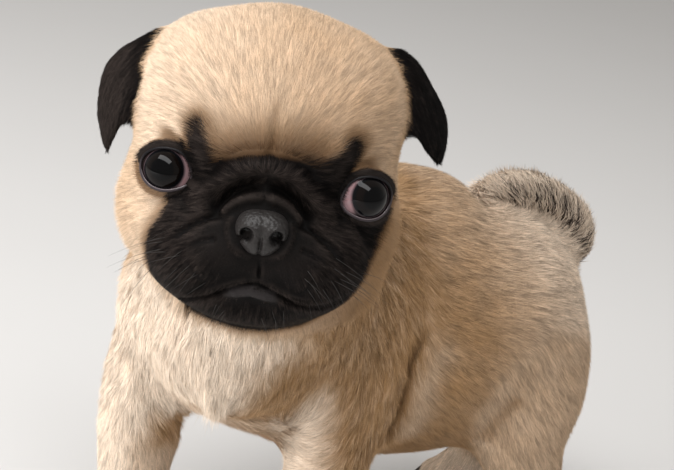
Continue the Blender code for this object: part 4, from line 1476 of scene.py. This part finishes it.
def buildLids():
    # the black rim of each opening, greyer below, and the wet line that lies inside the lower lid, its light
    # grey a painted reflection
    parts, tears, greys = [], [], []
    across, tall, out, shift = lidSettings["rim"]
    for side in (-1, 1):
        path, centre = lidLine(side, eyePlace["radius"] + out, shift)
        parts.append(closedTube(path, unit(path - centre), across, tall))
        greys.append(1.0 - aroundEye(parts[-1][0], side)[2])
    across, tall, out, shift = lidSettings["tear"]
    for side in (-1, 1):
        path, centre = lidLine(side, eyePlace["radius"] + out, shift, *lidSettings["tearArc"], 60)
        tears.append(openTube(path, unit(path - centre), across, tall))
    points, quads, triangles = joinParts(parts)
    lids = closedPiece("lidRims", (fromHead(points), quads, triangles), lidMaterial())
    setValue(lids.data, "lower", np.concatenate(greys))
    # painted reflection: the wet line's light grey colour, over its own gloss
    tearShine = mottledMaterial("tearFilmShine", (0.10, 0.08, 0.085), (0.22, 0.18, 0.19), 700.0,
                           Roughness=0.06, Specular_IOR_Level=0.7)
    points, quads, triangles = joinParts(tears)
    wet = closedPiece("tearLines", (fromHead(points), quads, triangles), tearShine)
    for piece in (lids, wet):
        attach(piece, "root")


print("eyes")
eyeLook = eyeMaterial()
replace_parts(buildEye("eyeballLeft", 1, eyeLook), "eye_left")
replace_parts(buildEye("eyeballRight", -1, eyeLook), "eye_right")
buildLids()

# Nose, in mm: middle and half sizes, a nostril's place from the middle, half sizes and depth, how far under
# it its slit starts, the slit's slope and half width, height and half sizes of the wing over it, and depth
# and half width of the middle groove and of the dip round it.
noseSettings = {
    "at": (0.4, -40.6, -6.7),
    "half": (8.0, 6.4, 6.8),
    "nostril": (4.4, 0.1),
    "hole": (1.9, 2.3),
    "depth": 3.2,
    "slit": (0.9, 0.62, 0.75),
    "wing": (0.9, 3.1, 1.7),
    "groove": (1.1, 0.55),
    "dip": (0.35, 1.1),
}


def buildNose():
    # a squared ball, direction * (|x|^2.6 + |y|^2.2 + |z|^2.5)^(-1/2.4), narrowed downwards, with nostrils
    # and a middle groove pressed in as exp(-(distance / width)^2)
    t = np.linspace(0.02, np.pi - 0.02, 90)[:, None]
    p = np.linspace(0, 2 * np.pi, 120, endpoint=False)[None]
    d = np.stack([np.sin(t) * np.cos(p), -np.cos(t) * np.ones_like(p), np.sin(t) * np.sin(p)], -1)
    size = (np.abs(d[..., 0]) ** 2.6 + np.abs(d[..., 1]) ** 2.2 + np.abs(d[..., 2]) ** 2.5) ** (-1 / 2.4)
    local = d * size[..., None] * np.array(noseSettings["half"])
    x, y, z = local[..., 0], local[..., 1], local[..., 2]
    x = x * (1.0 - 0.30 * smooth(1.0, -8.0, z))
    y = y - 0.9 * smooth(2, -6, z) * smooth(7, 2, np.abs(x)) * (y < 0)
    front = y < 0
    sx = np.abs(x)
    nx, nz = noseSettings["nostril"]
    wide, tall = noseSettings["hole"]
    hole = np.exp(-(((sx - nx) / wide) ** 2 + ((z - nz) / tall) ** 2))
    under, slope, half = noseSettings["slit"]
    slitPath = np.abs(z - nz + under + slope * (sx - nx)) * 0.85
    slit = np.exp(-(slitPath / half) ** 2) * smooth(nx - 0.4, nx + 0.8, sx) * smooth(8.2, 6.6, sx)
    hole = smooth(0.15, 0.75, hole)
    dent = np.maximum(hole, slit) * noseSettings["depth"]
    height, wide, tall = noseSettings["wing"]
    wing = height * np.exp(-(((sx - nx - 0.2) / wide) ** 2 + ((z - nz - 2.4) / tall) ** 2))
    depth, width = noseSettings["groove"]
    groove = depth * np.exp(-(x / width) ** 2) * smooth(1.5, -2.5, z)
    depth, width = noseSettings["dip"]
    groove = groove + depth * np.exp(-(x / width) ** 2)
    y = y + front * (dent + groove - wing)
    # painted shade in the nostrils, as deep as they are pressed in
    pitShade = (front * np.maximum(hole, slit)).ravel()
    rings = np.stack([x, y, z], -1) + np.array(noseSettings["at"])
    points, quads, triangles = ringMesh(rings)
    look = leatherMaterial("nosePad", (0.010, 0.0085, 0.0080), 0.45, 1050.0, 0.00035)
    piece = closedPiece("noseLeather", (fromHead(points), quads, triangles), look)
    setValue(piece.data, "pitShade", np.concatenate([pitShade, [0.0, 0.0]]))
    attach(piece, "root")
    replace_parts(piece, "nose")


print("nose")
buildNose()

# Claws, in mm: length, half size, its share from side to side, height, distance ahead of the toe, and drop.
clawSettings = {"length": 4.6, "thick": 1.05, "flat": 0.8, "height": 5.6, "ahead": 4.9, "drop": 3.8}
# Pads: half sizes and height of the toes' pads, how far back they lie, and the sole's pad, in mm in the
# paw's frame.
padSettings = {"toe": (2.7, 3.8, 2.0), "height": 1.7, "back": 0.9, "sole": ((0.0, 1.5, 2.0), (7.0, 5.4, 2.4))}


def buildClaws():
    # a claw is an oval of half size thick * (1 - s)^0.6 carried along
    # base + ahead * length * s - drop * s^1.8
    parts = []
    s = np.linspace(0, 0.97, 9)
    size = clawSettings["thick"] * (1 - s) ** 0.6
    drop = np.array((0, 0, 1)) * (clawSettings["drop"] * s ** 1.8)[:, None]
    for row in pawRows:
        for x, y, spread in toeRows:
            ahead = np.array((math.sin(math.radians(spread)), -math.cos(math.radians(spread)), 0.0))
            base = np.array((x, y, clawSettings["height"])) + ahead * clawSettings["ahead"]
            path = base + ahead * (s * clawSettings["length"])[:, None] - drop
            rings = sweptRings(path, (0, 0, 1), size, clawSettings["flat"], 1.0, 10)
            parts.append(ringMesh(pawPoint(row, rings)))
    look = mottledMaterial("clawHorn", (0.012, 0.010, 0.009), (0.05, 0.038, 0.030), 500.0, 3.0,
                           Roughness=0.32, Specular_IOR_Level=0.5)
    piece = closedPiece("claws", joinParts(parts), look)
    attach(piece, "root")


def buildPads():
    # cushions of the toes and the sole: flattened balls whose lowest part is level with the floor
    t = np.linspace(0.05, np.pi - 0.05, 18)[:, None]
    p = np.linspace(0, 2 * np.pi, 24, endpoint=False)[None]
    ball = np.stack([np.sin(t) * np.cos(p), np.sin(t) * np.sin(p), np.cos(t) * np.ones_like(p)], -1)
    parts = []
    for row in pawRows:
        pads = [((x * 0.96, y + padSettings["back"], padSettings["height"]), padSettings["toe"])
                for x, y, _ in toeRows]
        pads.append(padSettings["sole"])
        for centre, half in pads:
            local = ball * half + centre
            local[..., 2] = np.maximum(local[..., 2], 0.0)
            parts.append(ringMesh(pawPoint(row, local)))
    look = leatherMaterial("padLeather", (0.016, 0.013, 0.013), 0.6, 900.0, 0.0003)
    piece = closedPiece("pawPads", joinParts(parts), look)
    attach(piece, "root")


print("claws and pads")
buildClaws()
buildPads()

# Each row: root near this place on the face's left half, direction, length in mm, how many, spread in mm.
whiskerRows = (
    ((24.0, -38.0, -16.0), (0.80, -0.05, -0.30), 15.0, 7, 5.5),
    ((18.0, -41.0, -21.0), (0.55, -0.30, -0.55), 9.0, 6, 4.5),
    ((31.0, -31.0, -22.0), (0.75, 0.15, -0.45), 13.0, 4, 4.0),
    ((21.0, -32.0, 20.0), (0.35, -0.30, 0.75), 9.0, 3, 1.6),
    ((8.0, -37.0, -36.0), (0.25, -0.25, -0.85), 7.0, 4, 4.0),
)


# Whiskers: seed, thickness at the root and share of it lost at the tip (mm), stray, and droop for each mm.
whiskerSettings = {"seed": 77, "thick": 0.075, "taper": 0.85, "stray": 0.16, "droop": (0, 0.15, -0.28)}


def buildWhiskers():
    # a thin four-sided cone along root + direction * size * s + droop * s^2
    random = np.random.default_rng(whiskerSettings["seed"])
    faceIndex = np.nonzero(inFace(skinPoints))[0]
    facePoints = toHead(skinPoints[faceIndex])
    s = np.linspace(0, 1, 8)
    thick = whiskerSettings["thick"] * (1 - whiskerSettings["taper"] * s)
    parts = []
    for place, direction, length, count, spread in whiskerRows:
        for side in (-1, 1):
            for _ in range(count):
                near = np.array(place) * (side, 1, 1) + random.normal(0, spread * 0.5, 3)
                root = facePoints[np.argmin(np.linalg.norm(facePoints - near, axis=1))]
                stray = random.normal(0, whiskerSettings["stray"], 3)
                d = unit(np.array(direction) * (side, 1, 1) + stray)
                droop = np.array(whiskerSettings["droop"]) * length * random.uniform(0.3, 1.0)
                size = length * random.uniform(0.6, 1.15)
                path = root + d * (s * size)[:, None] + droop * (s ** 2)[:, None]
                parts.append(ringMesh(fromHead(sweptRings(path, (0.1, 0.2, 1), thick, 1.0, 1.0, 4))))
    look = mottledMaterial("whiskerHair", (0.006, 0.005, 0.005), (0.05, 0.045, 0.04), 90.0,
                           Roughness=0.4, Specular_IOR_Level=0.5)
    piece = closedPiece("whiskers", joinParts(parts), look)
    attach(piece, "root")


print("whiskers")
buildWhiskers()

# Each lamp: place, width and height, power, and whether shiny things mirror it.
stageSettings = {
    "floor": (0.60, 0.59, 0.58),
    "floorHalf": 3.0,
    "sky": (1.0, 0.97, 0.93, 1.0),
    "room": 0.42,
    "aim": (0.0, -0.03, 0.13),
    "lamps": {"keyLight": ((-0.34, -1.0, 0.55), (0.8, 0.8), 6.5, False),
              "topLight": ((0.05, -0.05, 1.15), (0.7, 0.7), 2.5, False),
              "fillLight": ((0.95, 0.20, 0.60), (1.0, 1.0), 1.8, False),
              "lowLight": ((-0.10, -1.20, 0.22), (0.9, 0.38), 9.5, False),
              "windowLight": ((0.10, -0.42, 1.18), (1.35, 0.40), 12.5, True)},
}


def buildStage():
    # a square floor, an even sky and the lamps, each turned with its back axis away from the puppy
    corners = np.array(((-1, -1, 0), (1, -1, 0), (1, 1, 0), (-1, 1, 0))) * stageSettings["floorHalf"]
    floor = makePiece("floor", corners, np.array(((0, 1, 2, 3),)), smoothShade=False)
    darker = tuple(value * 0.98 for value in stageSettings["floor"])
    paint = mottledMaterial("floorPaint", darker, stageSettings["floor"], 9.0,
                            Roughness=0.85, Specular_IOR_Level=0.2)
    floor.data.materials.append(paint)
    world = bpy.data.worlds.new("room")
    world.use_nodes = True
    world.node_tree.nodes["Background"].inputs[0].default_value = stageSettings["sky"]
    world.node_tree.nodes["Background"].inputs[1].default_value = stageSettings["room"]
    bpy.context.scene.world = world
    bpy.context.scene.view_settings.view_transform = "Standard"
    for name, (place, size, power, mirrored) in stageSettings["lamps"].items():
        light = bpy.data.lights.new(name, "AREA")
        light.shape = "RECTANGLE"
        light.size, light.size_y = size
        light.energy = power
        lamp = bpy.data.objects.new(name, light)
        lamp.visible_glossy = mirrored
        bpy.context.scene.collection.objects.link(lamp)
        back = unit(np.array(place) - np.array(stageSettings["aim"]))
        right = unit(np.cross((0.0, 0.0, 1.0), back))
        up = np.cross(back, right)
        lamp.matrix_world = placeMatrix(right, up, back, np.array(place))


# The camera's place in mm, the directions of its right, top and view, its focal length and the view's width
# in pixels, and its sensor in mm.
cameraSettings = {
    "at": (351.09, -362.68, 342.34),
    "right": (0.66019, 0.73849, 0.13705),
    "up": (-0.36649, 0.15746, 0.91700),
    "forward": (-0.65562, 0.65562, -0.37461),
    "pixels": 1500.0,
    "width": 674.0,
    "sensor": 36.0,
}


def buildCamera():
    # lens = sensor width * focal length in pixels / the view's width in pixels
    data = bpy.data.cameras.new("camera")
    data.sensor_width = cameraSettings["sensor"]
    data.lens = cameraSettings["sensor"] * cameraSettings["pixels"] / cameraSettings["width"]
    data.clip_start = 0.02
    camera = bpy.data.objects.new("camera", data)
    bpy.context.scene.collection.objects.link(camera)
    right, up, forward, at = (np.array(cameraSettings[key]) for key in ("right", "up", "forward", "at"))
    camera.matrix_world = placeMatrix(right, up, -forward, at / 1000.0)
    bpy.context.scene.camera = camera


print("stage")
buildStage()
buildCamera()
